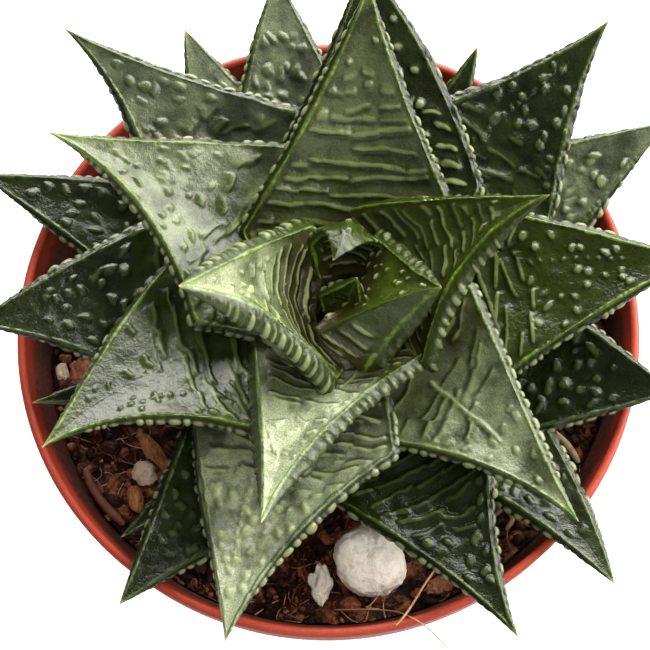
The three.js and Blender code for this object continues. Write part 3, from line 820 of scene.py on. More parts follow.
def scatter_rods(leaf, look, rng, settings, under):
    """Transverse ridges of a face: long near the base, broken further out, and then only warts.

    Each is (along, across, length, width, height, tilt), in mm.
    """
    pitch = settings.pitch / MM * look.pitch
    height = settings.height / MM * look.ridge
    rods = []
    at = RELIEF_START * leaf.length
    while at < look.bare * leaf.length:
        t = at / leaf.length
        room = float(leaf.half_width(np.array([t]))[0]) - 0.9
        breaking = float(smoothstep(look.broken - 0.16, look.broken + 0.16, t + rng.normal(0, 0.03)))
        if under:
            breaking = 0.35 + 0.65 * breaking
        folded = look.ridge_height and not under
        for start, end, kept in fold_spans(look, room, t) if folded else ((-room, room, breaking),):
            reach = start + 0.4 * rng.random() * pitch
            share = rng.uniform(0.15, 1.2)
            while reach < end:
                longest = (1 - kept) * max(4.0, 1.2 * room) + kept * 1.0
                length = min(longest * share, end - reach)
                share = rng.uniform(0.55, 1.2)
                if length > 0.3 and rng.random() < 0.98 - look.sparse * kept:
                    shift = rng.normal(0, 0.07 + 0.26 * kept) * pitch
                    tall = height * rng.uniform(0.7, 1.2)
                    ridge_wide = 0.42 * pitch
                    wide = (ridge_wide + (look.wart - ridge_wide) * kept) * rng.uniform(0.85, 1.15)
                    tilt = rng.normal(0, 0.08 + 0.25 * kept)
                    rods.append((at + shift, reach + 0.5 * length, max(0.0, length - 0.9), wide, tall, tilt))
                reach += length + rng.uniform(0.4, 0.8) + (0.4 + 1.1 * rng.random()) * kept
        at += pitch * rng.uniform(0.86, 1.14)
    for start, end, place, tall, gap in look.keels:
        for t in np.arange(start, end, gap / leaf.length):
            room = float(leaf.half_width(np.array([t]))[0])
            if not under and room > 0.6:
                rods.append((t * leaf.length, place * room, 0.0, 0.5, tall, 0.0))
    return rods


def raise_rods(rods, along, across, half, sweep, lean):
    """Height of the ridges at each point of a face, a mask of their tops, which are painted pale partly as a
    highlight, and one of the hollows behind them, where shade is painted.

    A long ridge is a ledge: steep on the side of the base, with a long slope on the side of the tip.
    """
    relief = np.zeros_like(across)
    tops = np.zeros_like(across)
    behind = np.zeros_like(across)
    ring_along = along.mean(axis=1)
    for at, middle, length, wide, tall, tilt in rods:
        near = np.nonzero(np.abs(ring_along - at) < ROD_REACH)[0]
        if not len(near):
            continue
        rows = slice(near[0], near[-1] + 1)
        x = across[rows]
        bow = sweep * (x * x - middle * middle) / np.maximum(half[rows], 2.0) + lean * (x - middle)
        offset = along[rows] - at - bow - tilt * (x - middle)
        past_end = np.maximum(np.abs(x - middle) - 0.5 * length, 0.0)
        ledge = min(1.0, max(0.0, length - 0.6) / 1.5)
        width = np.where(offset < 0, (1.0 - 0.42 * ledge) * wide, (1.15 + 0.75 * ledge) * wide)
        away = np.sqrt((offset / width) ** 2 + (past_end / wide) ** 2)
        dome = np.clip(1.0 - away ** 2, 0.0, 1.0)
        slope = np.clip(1.0 - away, 0.0, 1.0) ** 1.25
        lump = tall * (dome + (slope - dome) * ledge * (offset > 0))
        relief[rows] = np.maximum(relief[rows], lump)
        # The narrow top of the ridge, painted pale, partly as a highlight.
        narrow = wide * (1.0 - 0.45 * ledge)
        edge = np.clip(1.0 - ((offset - 0.05) / narrow) ** 2 - (past_end / wide) ** 2, 0.0, 1.0)
        tops[rows] = np.maximum(tops[rows], edge * tall)
        # The hollow behind the ridge, where shade is painted.
        before = (offset + 0.85 * wide) / (0.6 * wide)
        hollow = np.clip(1.0 - before ** 2 - (past_end / wide) ** 2, 0.0, 1.0)
        behind[rows] = np.maximum(behind[rows], hollow * (0.35 + 0.65 * ledge))
    return relief, tops, behind


def lobe_profile(leaf, look, along, rng, settings):
    """How far the margin's lobes stand out at each place along one edge."""
    pitch = settings.lobe_pitch / MM
    tall = settings.lobe / MM * look.lobes
    out = np.zeros_like(along)
    at = RELIEF_START * leaf.length
    while at < LOBES_END * leaf.length:
        fade = 1.0 - float(smoothstep(0.72, 0.97, at / leaf.length)) * 0.85
        step = pitch * rng.uniform(0.55, 1.35) * (0.6 + 0.4 * fade)
        wide = look.lobe_width * step
        size = tall * rng.uniform(0.4, 1.15) * fade
        bump = size * np.clip(1.0 - np.abs((along - at - 0.5 * step) / wide) ** 2.4, 0.0, 1.0) ** 0.8
        out = np.maximum(out, bump)
        at += step
    return out


class Look:
    """How one leaf differs from the others: its bands, its ridges and its folds."""

    def __init__(self, leaf):
        values = dict(LOOK_DEFAULTS)
        values.update(TIER_LOOKS.get(leaf.tier, {}))
        values.update(LEAF_LOOKS.get(leaf.name, {}))
        for key, value in values.items():
            setattr(self, key, value)


def face_height(look, q, t, cup):
    """Height of the upper face over the line between its crests.

    The shares q run from -1 to 1 of the half width.
    """
    sharpness = 2.0 - 0.85 * smoothstep(0.3, 0.95, t)
    height = -cup * (1.0 - np.abs(q) ** sharpness)
    if look.ridge_height:
        side = math.copysign(1.0, look.ridge_at)
        peak = abs(look.ridge_at)
        share = q * side
        outer = np.clip((1.0 - share) / (1.0 - peak), 0.0, 1.0)
        inner = np.clip((share + 1.0) / (peak + 1.0), 0.0, 1.0)
        lift = look.ridge_height * (1.0 - t) ** 0.8
        ramp = np.where(share > peak, outer ** 0.85, inner)
        hollow = look.ridge_cup * (1.0 - t) ** 0.5 * 4.0 * inner * (1.0 - inner) * (share <= peak)
        height = lift * ramp - hollow
    return height


class Profile:
    """Widths and depths of a blade at each of its rings, in mm."""

    def __init__(self, leaf, look, t):
        self.t = t
        self.along = t * leaf.length
        self.half = leaf.half_width(t)
        self.shrink = np.minimum(1.0, 3.2 * (1.0 - t)) ** 0.7
        self.band = {1: look.bands[0] * self.shrink, -1: look.bands[1] * self.shrink}
        self.drop = look.drop * self.shrink
        self.cup = leaf.cup * look.cup * np.minimum(1.0, self.half / (0.5 * leaf.width))
        self.keel = self.cup + self.drop + leaf.flesh * (1.0 - t) ** 0.7


def lay_section(look, profile, zones, lobes):
    """Places of the points beside and above the spine, their distance past the crest line, and their lobes.

    Negative distances lie on the upper face, inside the line.
    """
    half, drop, keel, band = profile.half, profile.drop, profile.keel, profile.band
    count = (len(profile.t), len(zones))
    across = np.zeros(count)
    above = np.zeros(count)
    rim = np.zeros(count)
    lobing = np.zeros(count)
    for index, (zone, share) in enumerate(zones):
        sign = 1 if zone == "left" or (zone == "under" and share > 0) else -1
        edge = half + band[sign]
        if zone == "face":
            q = crowded(share)
            across[:, index] = q * half
            above[:, index] = face_height(look, q, profile.t, profile.cup)
            rim[:, index] = -(1.0 - abs(q)) * half
        elif zone == "under":
            across[:, index] = share * edge
            above[:, index] = -drop - (keel - drop) * (1.0 - abs(share) ** look.keel_edge)
            rim[:, index] = band[sign] + (1.0 - abs(share)) * edge
            near = np.clip(1.0 - (1.0 - abs(share)) * edge / 1.8, 0.0, 1.0)
            lobing[:, index] = near ** 0.8 * lobes[sign]
        else:
            start = 0.35 / look.bands[0 if sign > 0 else 1]
            bulge = math.sin(0.5 * math.pi * share)
            across[:, index] = sign * (half + (0.45 * share + 0.55 * bulge) * band[sign])
            above[:, index] = -drop * (0.35 * share + 0.65 * (1.0 - math.cos(0.5 * math.pi * share)))
            rim[:, index] = share * band[sign]
            lobing[:, index] = smoothstep(start, start + 0.5, share) * lobes[sign]
    return across, above, rim, lobing


def bead_height(leaf, profile, rim):
    """Height of the beaded cord that follows the crest line."""
    bead = 0.6 + 0.5 * np.sin(profile.along * 4.6 + 2.0 * np.sin(profile.along * 1.3 + leaf.seed))[:, None]
    return 0.20 * profile.shrink[:, None] * bead * np.exp(-(np.abs(rim) / 0.24) ** 2)


def outward_normals(place, inside):
    """Directions that point away from the points inside, one for each place of the rings."""
    ring = np.roll(place, -1, axis=1) - np.roll(place, 1, axis=1)
    normal = np.cross(ring, np.gradient(place, axis=0))
    normal /= np.maximum(np.linalg.norm(normal, axis=-1, keepdims=True), 1e-9)
    outward = place - inside[:, None, :]
    return -normal if np.sum(normal * outward) < 0 else normal


def lay_ridges(leaf, look, profile, zones, across, local, rng, settings):
    """Relief of both faces, with the masks of the ridges' tops, painted pale partly as a highlight, and of
    the hollows behind them, where shade is painted.
    """
    wavy = profile.along[:, None] + look.wander * layered_noise(local / 4.5, leaf.seed + 3, 3)
    sway = across + 0.6 * look.wander * layered_noise(local / 3.0, leaf.seed + 4, 2)
    wide = np.repeat(profile.half[:, None], len(zones), axis=1)
    relief, tops, behind = (np.zeros(across.shape) for _ in range(3))
    for side, below in (("face", False), ("under", True)):
        columns = [index for index, (zone, _) in enumerate(zones) if zone == side]
        rods = scatter_rods(leaf, look, rng, settings, below)
        bow = -look.bow if below else look.bow
        relief[:, columns], tops[:, columns], behind[:, columns] = raise_rods(
            rods, wavy[:, columns], sway[:, columns], wide[:, columns], bow, look.lean,
        )
    return relief, tops, behind


def model_leaf(leaf, settings):
    """The closed blade with its ridges, lobes and crest lines, and the masks that its material reads."""
    look = Look(leaf)
    fineness = FINENESS[leaf.tier]
    rng = random_stream(leaf.seed)
    rows = 20 * max(3, round(0.16 * leaf.length * fineness))
    zones = section_columns(fineness)
    mesh, row, column = capsule(leaf.name, rows, len(zones))
    t = along_stations(leaf, rows)
    profile = Profile(leaf, look, t)
    lobes = {sign: lobe_profile(leaf, look, profile.along, rng, settings) for sign in (1, -1)}
    across, above, rim, lobing = lay_section(look, profile, zones, lobes)
    above += bead_height(leaf, profile, rim)

    side, up = leaf.frames(t)[1:]
    spine = leaf.spine(t)
    middle = spine - up * (0.5 * profile.keel)[:, None]
    place = spine[:, None, :] + side[:, None, :] * across[..., None] + up[:, None, :] * above[..., None]
    normal = outward_normals(place, middle)

    underside = above < -profile.drop[:, None]
    local = np.stack([profile.along[:, None] + 0 * across, across, 9.0 * underside], axis=-1)
    relief, tops, behind = lay_ridges(leaf, look, profile, zones, across, local, rng, settings)
    smooth_line = smoothstep(0.35, 1.1, np.abs(rim))
    tops *= smooth_line
    relief *= smooth_line
    relief *= (0.8 + 0.35 * lattice_noise(local / 1.7, leaf.seed + 6))
    swell = 0.32 * layered_noise(place / 7.0, leaf.seed, 2)
    swell += look.lumpy * lattice_noise(place / 1.9, leaf.seed + 8)
    swell *= smoothstep(0.0, 0.4, 1.0 - t)[:, None]
    place = place + normal * (relief + swell + lobing)[..., None]
    place[0] = middle[0]
    place[-1] = spine[-1]
    place_vertices(mesh, place[row, column] * MM)
    crests = tops / (settings.height / MM)
    # The tone paints sheen where it is high and shade where it is low, each partly the leaf's own colour.
    masks = {
        "tops": crests, "groove": np.clip(behind - crests, 0, 1), "rim": rim, "lobing": lobing,
        "ripe": np.full(rim.shape, look.ripe), "tone": np.full(rim.shape, look.tone),
    }
    for name, values in masks.items():
        paint(mesh, name, values[row, column])
    paint(mesh, "along", t[row])
    return mesh


# ---- Operators: one for each piece or group of like pieces ----

# Radius of the pot's foot against the rim's, and how far the collar stands out over the wall.
FOOT_SHARE = 0.676
COLLAR_STEP = 1.3 * MM
# The pad in the middle of the underside, its raised floor, and the ring that the pot stands on.
PAD_RADIUS = 9 * MM
FLOOR_BOTTOM = 2.0 * MM
FLOOR_TOP = 3.3 * MM
RING_WIDTH = 2.6 * MM
# Steps by which the wall's section goes up, in mm.
WALL_STEP = 8
DRAIN_HOLES = 8
DRAIN_RADIUS = 3 * MM
DRAIN_CIRCLE = 24 * MM
DRAIN_CUTTER = 12 * MM
# A pot with fewer faces than this has lost its wall while it was drilled.
FEWEST_POT_FACES = 1000
# Vertices closer than this are one.
WELD = 1e-6


def spin(bm, line, steps):
    """Turns a line of vertices round the Z axis into a closed skin."""
    edges = [bm.edges.new(pair) for pair in zip(line, line[1:])]
    bmesh.ops.spin(
        bm, geom=line + edges, cent=(0, 0, 0), axis=(0, 0, 1), angle=2 * math.pi, steps=steps, use_merge=True,
    )
    bmesh.ops.remove_doubles(bm, verts=bm.verts, dist=WELD)


class HAWORTHIA_OT_pot(bpy.types.Operator):
    """Models the round tapered pot with its collar, lip, foot ring and drain holes"""

    bl_idname = "haworthia.pot"
    bl_label = "Pot"

    def execute(self, context):
        settings = context.scene.haworthia_pot
        low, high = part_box("pot")
        rim = 0.5 * (high[0] - low[0])
        top = high[2]
        outline = self.outline(rim, top, settings)
        bm = bmesh.new()
        line = [bm.verts.new((radius, 0.0, height)) for radius, height in outline]
        spin(bm, line, settings.segments)
        mesh = mesh_from(bm, "nursery_pot")
        pot = scene_object("nursery_pot", mesh, "pot")
        self.drill(pot)
        self.dust(pot.data, top)
        pot.data.materials.append(plastic_material("pot_plastic", tuple(settings.colour)))
        return {"FINISHED"}

    def outline(self, rim, top, settings):
        """The wall's section from the middle of the underside, up outside and down inside."""
        foot = FOOT_SHARE * rim
        wall = settings.wall
        collar_bottom = top - settings.collar
        shoulder = rim - COLLAR_STEP - wall
        slope = (shoulder - foot) / collar_bottom
        ring = foot - RING_WIDTH
        draft = 0.6 * MM
        points = [(0, 0), (PAD_RADIUS, 0), (PAD_RADIUS + draft, FLOOR_BOTTOM)]
        points += [(ring - draft, FLOOR_BOTTOM), (ring, 0)]
        points += self.arc(foot - 0.5 * MM, 0.5 * MM, 0.5 * MM, -90, 8, 5)
        points += [(foot + slope * z * MM, z * MM) for z in range(4, 84, WALL_STEP)]
        points += [(shoulder, collar_bottom), (rim - 1.1 * MM, collar_bottom + 0.15 * MM)]
        points += [(rim - 0.8 * MM, collar_bottom + 0.5 * MM), (rim - 0.35 * MM, top - 3.2 * MM)]
        lip = 0.5 * settings.lip
        points += self.arc(rim - lip, top - lip, lip, 0, 180, 12)
        inside = rim - settings.lip
        points += [(inside - 0.05 * MM, top - 1.4 * MM)]
        points += [(shoulder - wall + 0.35 * MM, collar_bottom + 0.8 * MM)]
        points += [(shoulder - wall, collar_bottom - 0.4 * MM)]
        points += [(foot - wall + slope * z * MM, z * MM) for z in range(76, 4, -WALL_STEP)]
        points += [(foot - wall, FLOOR_TOP), (0, FLOOR_TOP)]
        return points

    def arc(self, x, z, radius, start, end, steps):
        """Points on an arc, its ends in degrees."""
        angles = np.radians(np.linspace(start, end, steps))
        return [(x + radius * math.cos(a), z + radius * math.sin(a)) for a in angles]

    def drill(self, pot):
        """Cuts the drain holes through the floor with one cutter."""
        bm = bmesh.new()
        for index in range(DRAIN_HOLES):
            angle = (index + 0.5) * 2 * math.pi / DRAIN_HOLES
            x, y = DRAIN_CIRCLE * math.cos(angle), DRAIN_CIRCLE * math.sin(angle)
            bmesh.ops.create_cone(
                bm, cap_ends=True, segments=40, radius1=DRAIN_RADIUS, radius2=DRAIN_RADIUS,
                depth=DRAIN_CUTTER, matrix=Matrix.Translation((x, y, FLOOR_BOTTOM)),
            )
        cutter = bpy.data.objects.new("drain_cutter", mesh_from(bm, "drain_cutter"))
        bpy.context.scene.collection.objects.link(cutter)
        cut = pot.modifiers.new("drain_holes", "BOOLEAN")
        cut.operation = "DIFFERENCE"
        cut.solver = "EXACT"
        cut.object = cutter
        graph = bpy.context.evaluated_depsgraph_get()
        drilled = bpy.data.meshes.new_from_object(pot.evaluated_get(graph))
        pot.modifiers.clear()
        bpy.data.objects.remove(cutter)
        pot.data = drilled
        drilled.name = "nursery_pot"
        if len(drilled.polygons) < FEWEST_POT_FACES:
            raise RuntimeError("the drain holes could not be cut")

    def dust(self, mesh, top):
        """Paints where fine soil of the mix clings inside, where shade is painted deep inside, and where
        shade is painted low on the outside.
        """
        places = vertex_places(mesh)
        normals = np.array([vertex.normal[:] for vertex in mesh.vertices])
        radial = np.sum(places[:, :2] * normals[:, :2], axis=1)
        inside = radial < 0
        deep = 1.0 - smoothstep(top - 5.0 * MM, top - 1.2 * MM, places[:, 2])
        # Inside, the clinging soil of the mix and the painted shade both grow stronger lower down.
        paint(mesh, "dust", np.where(inside, 0.10 + 0.40 * deep, 0.0))
        # Outside, painted shade makes the wall darker lower down.
        below = 1.0 - smoothstep(top - 20 * MM, top - 3 * MM, places[:, 2])
        paint(mesh, "worn", np.where(inside, 0.0, below))


# How much darker and browner the leaves are near the base, and how strong their sheen is.
LEAF_SKINS = {"young_leaf": (0.7, 0.36), "mature_leaf": (0.5, 0.34), "old_leaf": (0.3, 0.36)}
STEM_GREEN = (0.20, 0.19, 0.07)


class HAWORTHIA_OT_leaves(bpy.types.Operator):
    """Models every leaf of the rosette, and gives the stem between them its skin"""

    bl_idname = "haworthia.leaves"
    bl_label = "Leaves"

    def execute(self, context):
        settings = context.scene.haworthia_leaves
        crest, pale = tuple(settings.crest), tuple(settings.pale)
        materials = {}
        for slot, (base_darkening, shine) in LEAF_SKINS.items():
            flesh = tuple(getattr(settings, slot.split("_")[0]))
            line = shade(crest, 0.45) if slot == "old_leaf" else crest
            materials[slot] = leaf_material(slot, flesh, line, pale, base_darkening, shine)
        for index, row in enumerate(LEAF_ROWS):
            leaf = Leaf(index, row)
            mesh = model_leaf(leaf, settings)
            slot = LEAF_SLOT[leaf.tier]
            mesh.materials.append(materials[slot])
            scene_object(leaf.name + "_blade", mesh, leaf.name)
        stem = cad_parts["short_stem"]
        stem.data.materials.clear()
        stem.data.materials.append(strand_material("stem_skin", STEM_GREEN))
        return {"FINISHED"}


PIT_DEPTH = 0.05
# Node, slot, steps of subdivision, bumpiness, squareness and pits of each stone.
STONES = (
    ("white_stone", "white_stone", 6, 0.09, 0.25, 60),
    ("white_chip", "white_stone", 5, 0.34, 0.0, 26),
    ("cream_pebble", "cream_stone", 4, 0.22, 0.3, 10),
    ("pale_grit", "cream_stone", 4, 0.25, 0.2, 6),
)
# Node, slot and material of each larger piece of bark or coir.
BROKEN_PIECES = (
    ("bark_chunk", "bark", "rust_bark"), ("bark_strip", "bark", "tan_bark"),
    ("bark_flake_front_left", "bark", "dark_bark"), ("bark_flake_right", "bark", "tan_bark"),
    ("bark_flake_front", "bark", "rust_bark"), ("coir_lump", "coir", "tan_bark"),
)


def lump_mesh(name, low, high, seed, detail, bumpiness, squareness, pits):
    """A rough lump that fills the box from low to high, with pits pressed into it."""
    bm = bmesh.new()
    bmesh.ops.create_icosphere(bm, subdivisions=detail, radius=1.0)
    mesh = mesh_from(bm, name)
    sphere = vertex_places(mesh).astype(float)
    rng = random_stream(seed)
    sphere /= np.linalg.norm(sphere, axis=1, keepdims=True)
    reach = 1.0 + bumpiness * layered_noise(sphere * 1.6, seed, 5, 0.55)
    reach /= (np.sum(np.abs(sphere) ** 4, axis=1) ** 0.25) ** squareness
    pit = np.zeros(len(sphere))
    for _ in range(pits):
        centre = rng.normal(size=3)
        centre /= np.linalg.norm(centre)
        size = rng.uniform(0.04, 0.13)
        away = np.linalg.norm(sphere - centre, axis=1) / size
        pit = np.maximum(pit, np.clip(1.0 - away ** 2, 0.0, 1.0) * rng.uniform(0.4, 1.0))
    reach -= PIT_DEPTH * pit
    places = sphere * reach[:, None]
    size = places.max(axis=0) - places.min(axis=0)
    middle = 0.5 * (places.max(axis=0) + places.min(axis=0))
    low, high = np.array(low), np.array(high)
    places = (places - middle) / size * (high - low) + 0.5 * (high + low)
    place_vertices(mesh, places)
    paint(mesh, "pit", pit)
    paint(mesh, "tone", np.clip(0.5 + 0.5 * layered_noise(sphere * 2.5, seed + 5, 3), 0, 1))
    return mesh


class HAWORTHIA_OT_stones(bpy.types.Operator):
    """Models the stones that lie on the mix"""

    bl_idname = "haworthia.stones"
    bl_label = "Stones"

    def execute(self, context):
        materials = {
            "white_stone": stone_material("white_stone", (0.91, 0.85, 0.75), (0.66, 0.56, 0.43)),
            "cream_stone": stone_material("cream_stone", (0.70, 0.55, 0.40), (0.40, 0.26, 0.17)),
        }
        for seed, (node, slot, *shape) in enumerate(STONES):
            low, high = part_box(node)
            mesh = lump_mesh(node, low, high, 40 + seed, *shape)
            mesh.materials.append(materials[slot])
            scene_object(node + "_lump", mesh, node)
        return {"FINISHED"}


class HAWORTHIA_OT_bark(bpy.types.Operator):
    """Models the larger pieces of bark and the lump of coir"""

    bl_idname = "haworthia.bark"
    bl_label = "Bark"

    def execute(self, context):
        materials = {
            "rust_bark": bark_material("rust_bark", (0.16, 0.045, 0.022), (0.42, 0.17, 0.09)),
            "tan_bark": bark_material("tan_bark", (0.17, 0.06, 0.02), (0.48, 0.22, 0.08)),
            "dark_bark": bark_material("dark_bark", (0.055, 0.018, 0.011), (0.17, 0.06, 0.035)),
        }
        for seed, (node, slot, bark) in enumerate(BROKEN_PIECES):
            mesh = self.broken_piece(node, 60 + seed)
            mesh.materials.append(materials[bark])
            scene_object(node + "_piece", mesh, node)
        return {"FINISHED"}

    def broken_piece(self, node, seed):
        """The frame's plain lump, subdivided and roughened."""
        bm = bmesh.new()
        bm.from_mesh(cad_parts[node].data)
        bmesh.ops.remove_doubles(bm, verts=bm.verts, dist=WELD)
        bmesh.ops.subdivide_edges(bm, edges=bm.edges, cuts=9, use_grid_fill=True)
        bmesh.ops.triangulate(bm, faces=bm.faces)
        mesh = mesh_from(bm, node)
        places = vertex_places(mesh).astype(float)
        middle = 0.5 * (places.max(axis=0) + places.min(axis=0))
        rough = layered_noise(places / (1.1 * MM), seed, 4, 0.6)
        place_vertices(mesh, middle + (places - middle) * (0.95 + 0.13 * rough)[:, None])
        return mesh


def smooth_path(points, count):
    """Places along a curve through the points."""
    points = np.array(points, dtype=float)
    padded = np.vstack([2 * points[0] - points[1], points, 2 * points[-1] - points[-2]])
    spans = len(points) - 1
    where = np.linspace(0, spans, count)
    places = []
    for value in where:
        span = min(int(value), spans - 1)
        u = value - span
        a, b, c, d = padded[span:span + 4]
        places.append(0.5 * (2 * b + (c - a) * u + (2 * a - 5 * b + 4 * c - d) * u * u
                             + (3 * b - a - 3 * c + d) * u ** 3))
    return np.array(places)


# How uneven a strand's thickness is, and how thick its ends are against its middle.
STRAND_UNEVENNESS = 0.12
STRAND_END = 0.35


def strand_mesh(name, points, width, sides, rows, seed):
    """A closed fibre through the points, uneven in thickness and thinner at its ends."""
    mesh, row, column = capsule(name, rows, sides)
    path = smooth_path(points, rows + 1)
    tangent = np.gradient(path, axis=0)
    tangent /= np.linalg.norm(tangent, axis=1, keepdims=True)
    across = np.cross(tangent, (0.31, 0.17, 0.93))
    across /= np.linalg.norm(across, axis=1, keepdims=True)
    upright = np.cross(tangent, across)
    t = np.linspace(0, 1, rows + 1)
    fullness = np.minimum(1, 6 * np.minimum(t, 1 - t)) ** 0.5
    thickness = 0.5 * width * (STRAND_END + (1 - STRAND_END) * fullness)
    thickness *= 1 + STRAND_UNEVENNESS * lattice_noise(path / (2.5 * width), seed)
    thickness[0] = thickness[-1] = 0.0
    angle = 2 * math.pi * column / sides
    radius = thickness[row]
    places = path[row] + across[row] * (radius * np.cos(angle))[:, None]
    places += upright[row] * (radius * np.sin(angle))[:, None]
    place_vertices(mesh, places)
    return mesh


# Width, slot and the places along each strand, in mm.
STRANDS = {
    "wall_twig": (1.5, "twig", ((-43, -18.4, 81.9), (-40.8, -23.8, 82.3), (-36.6, -29, 82))),
    "pale_rootlet": (1.1, "rootlet", ((36.8, -18.2, 82.9), (39.2, -21.2, 83), (40.8, -24.2, 82.5))),
    "curled_rootlet": (0.9, "rootlet", (
        (25.6, -32.2, 82.2), (27.4, -31.2, 83), (28.6, -33, 83.2), (27.4, -34.8, 82.6),
    )),
    "coir_fibre_1": (0.36, "coir", (
        (15.2, -40.6, 84.4), (12.6, -44.4, 88), (9.6, -49.2, 92.4), (7.4, -51.6, 92.9),
    )),
    "coir_fibre_2": (0.22, "coir", (
        (-2.6, -46.2, 82.8), (2.6, -46.8, 84.4), (7.4, -48.2, 88), (10.2, -50.4, 92.5), (12.8, -52.6, 92.9),
        (15.8, -56, 92.6),
    )),
    "coir_fibre_3": (0.22, "coir", (
        (8.6, -40.2, 83), (4.2, -45.6, 84), (3, -46.3, 83.4), (5.2, -46.6, 82.8),
    )),
}


class HAWORTHIA_OT_strands(bpy.types.Operator):
    """Models the twig, the rootlets and the long coir fibres"""

    bl_idname = "haworthia.strands"
    bl_label = "Strands"

    def execute(self, context):
        fibre = tuple(context.scene.haworthia_mix.fibre)
        materials = {
            "twig": strand_material("twig_bark", (0.17, 0.058, 0.030)),
            "rootlet": strand_material("dry_root", (0.62, 0.40, 0.26)),
            "coir": strand_material("coir_fibre", fibre),
        }
        for seed, (node, (width, slot, points)) in enumerate(STRANDS.items()):
            scaled = [tuple(value * MM for value in point) for point in points]
            mesh = strand_mesh(node, scaled, width * MM, 12, 60, 80 + seed)
            mesh.materials.append(materials[slot])
            scene_object(node + "_strand", mesh, node)
        return {"FINISHED"}


# The pot's inner wall just above the mix: its height, the radius left inside it, and its slope.
WALL_HEIGHT = 78.5 * MM
WALL_ROOM = 47.85 * MM
WALL_SLOPE = 0.174
# The same slope a little steeper, for the plug's side, and the steps of the plug's mesh.
PLUG_SLOPE = 0.18
PLUG_RINGS = 110
PLUG_STEPS = 300
# Radii between which crumbs, and chips or hairs, lie on the mix, in mm.
CRUMB_SPREAD = (14.0, 48.2)
CHIP_SPREAD = (18, 47.5)
HAIR_SPREAD = (22, 47.5)
# Shape and scale of the crumbs' spread of sizes, and the smallest of them, in mm.
CRUMB_SIZES = (1.8, 0.25)
SMALLEST_CRUMB = 0.24
CHIP_CORNERS = 11
HAIR_JOINTS = 5
HAIR_ROOM = 48.0 * MM
RUST_CHIP = (0.26, 0.085, 0.042)
RUST_HAIR = (0.20, 0.065, 0.03)


def keep_in_pot(mesh):
    """Pulls in whatever would stick through the pot's wall."""
    places = vertex_places(mesh)
    room = WALL_ROOM + WALL_SLOPE * (places[:, 2] - WALL_HEIGHT)
    out = np.maximum(np.hypot(places[:, 0], places[:, 1]), 1e-6)
    places[:, :2] *= np.minimum(1.0, room / out)[:, None]
    place_vertices(mesh, places)


def mix_height(x, y, level):
    """Height of the mix's surface in metres, without its crumbs."""
    from_stem = np.hypot(x / MM - STEM_AXIS[0], y / MM - STEM_AXIS[1])
    mound = 2.5 * np.maximum(0.0, 1.0 - from_stem / 40.0)
    a = np.sin(1.7 * x / MM / 7 + 11.5) * np.cos(1.3 * y / MM / 6 - 5)
    b = np.sin(3.5 + 0.8 * x / MM / 7) * np.cos(2.1 * y / MM / 6 + 5.5)
    return level + (mound + 0.45 * (a + b)) * MM


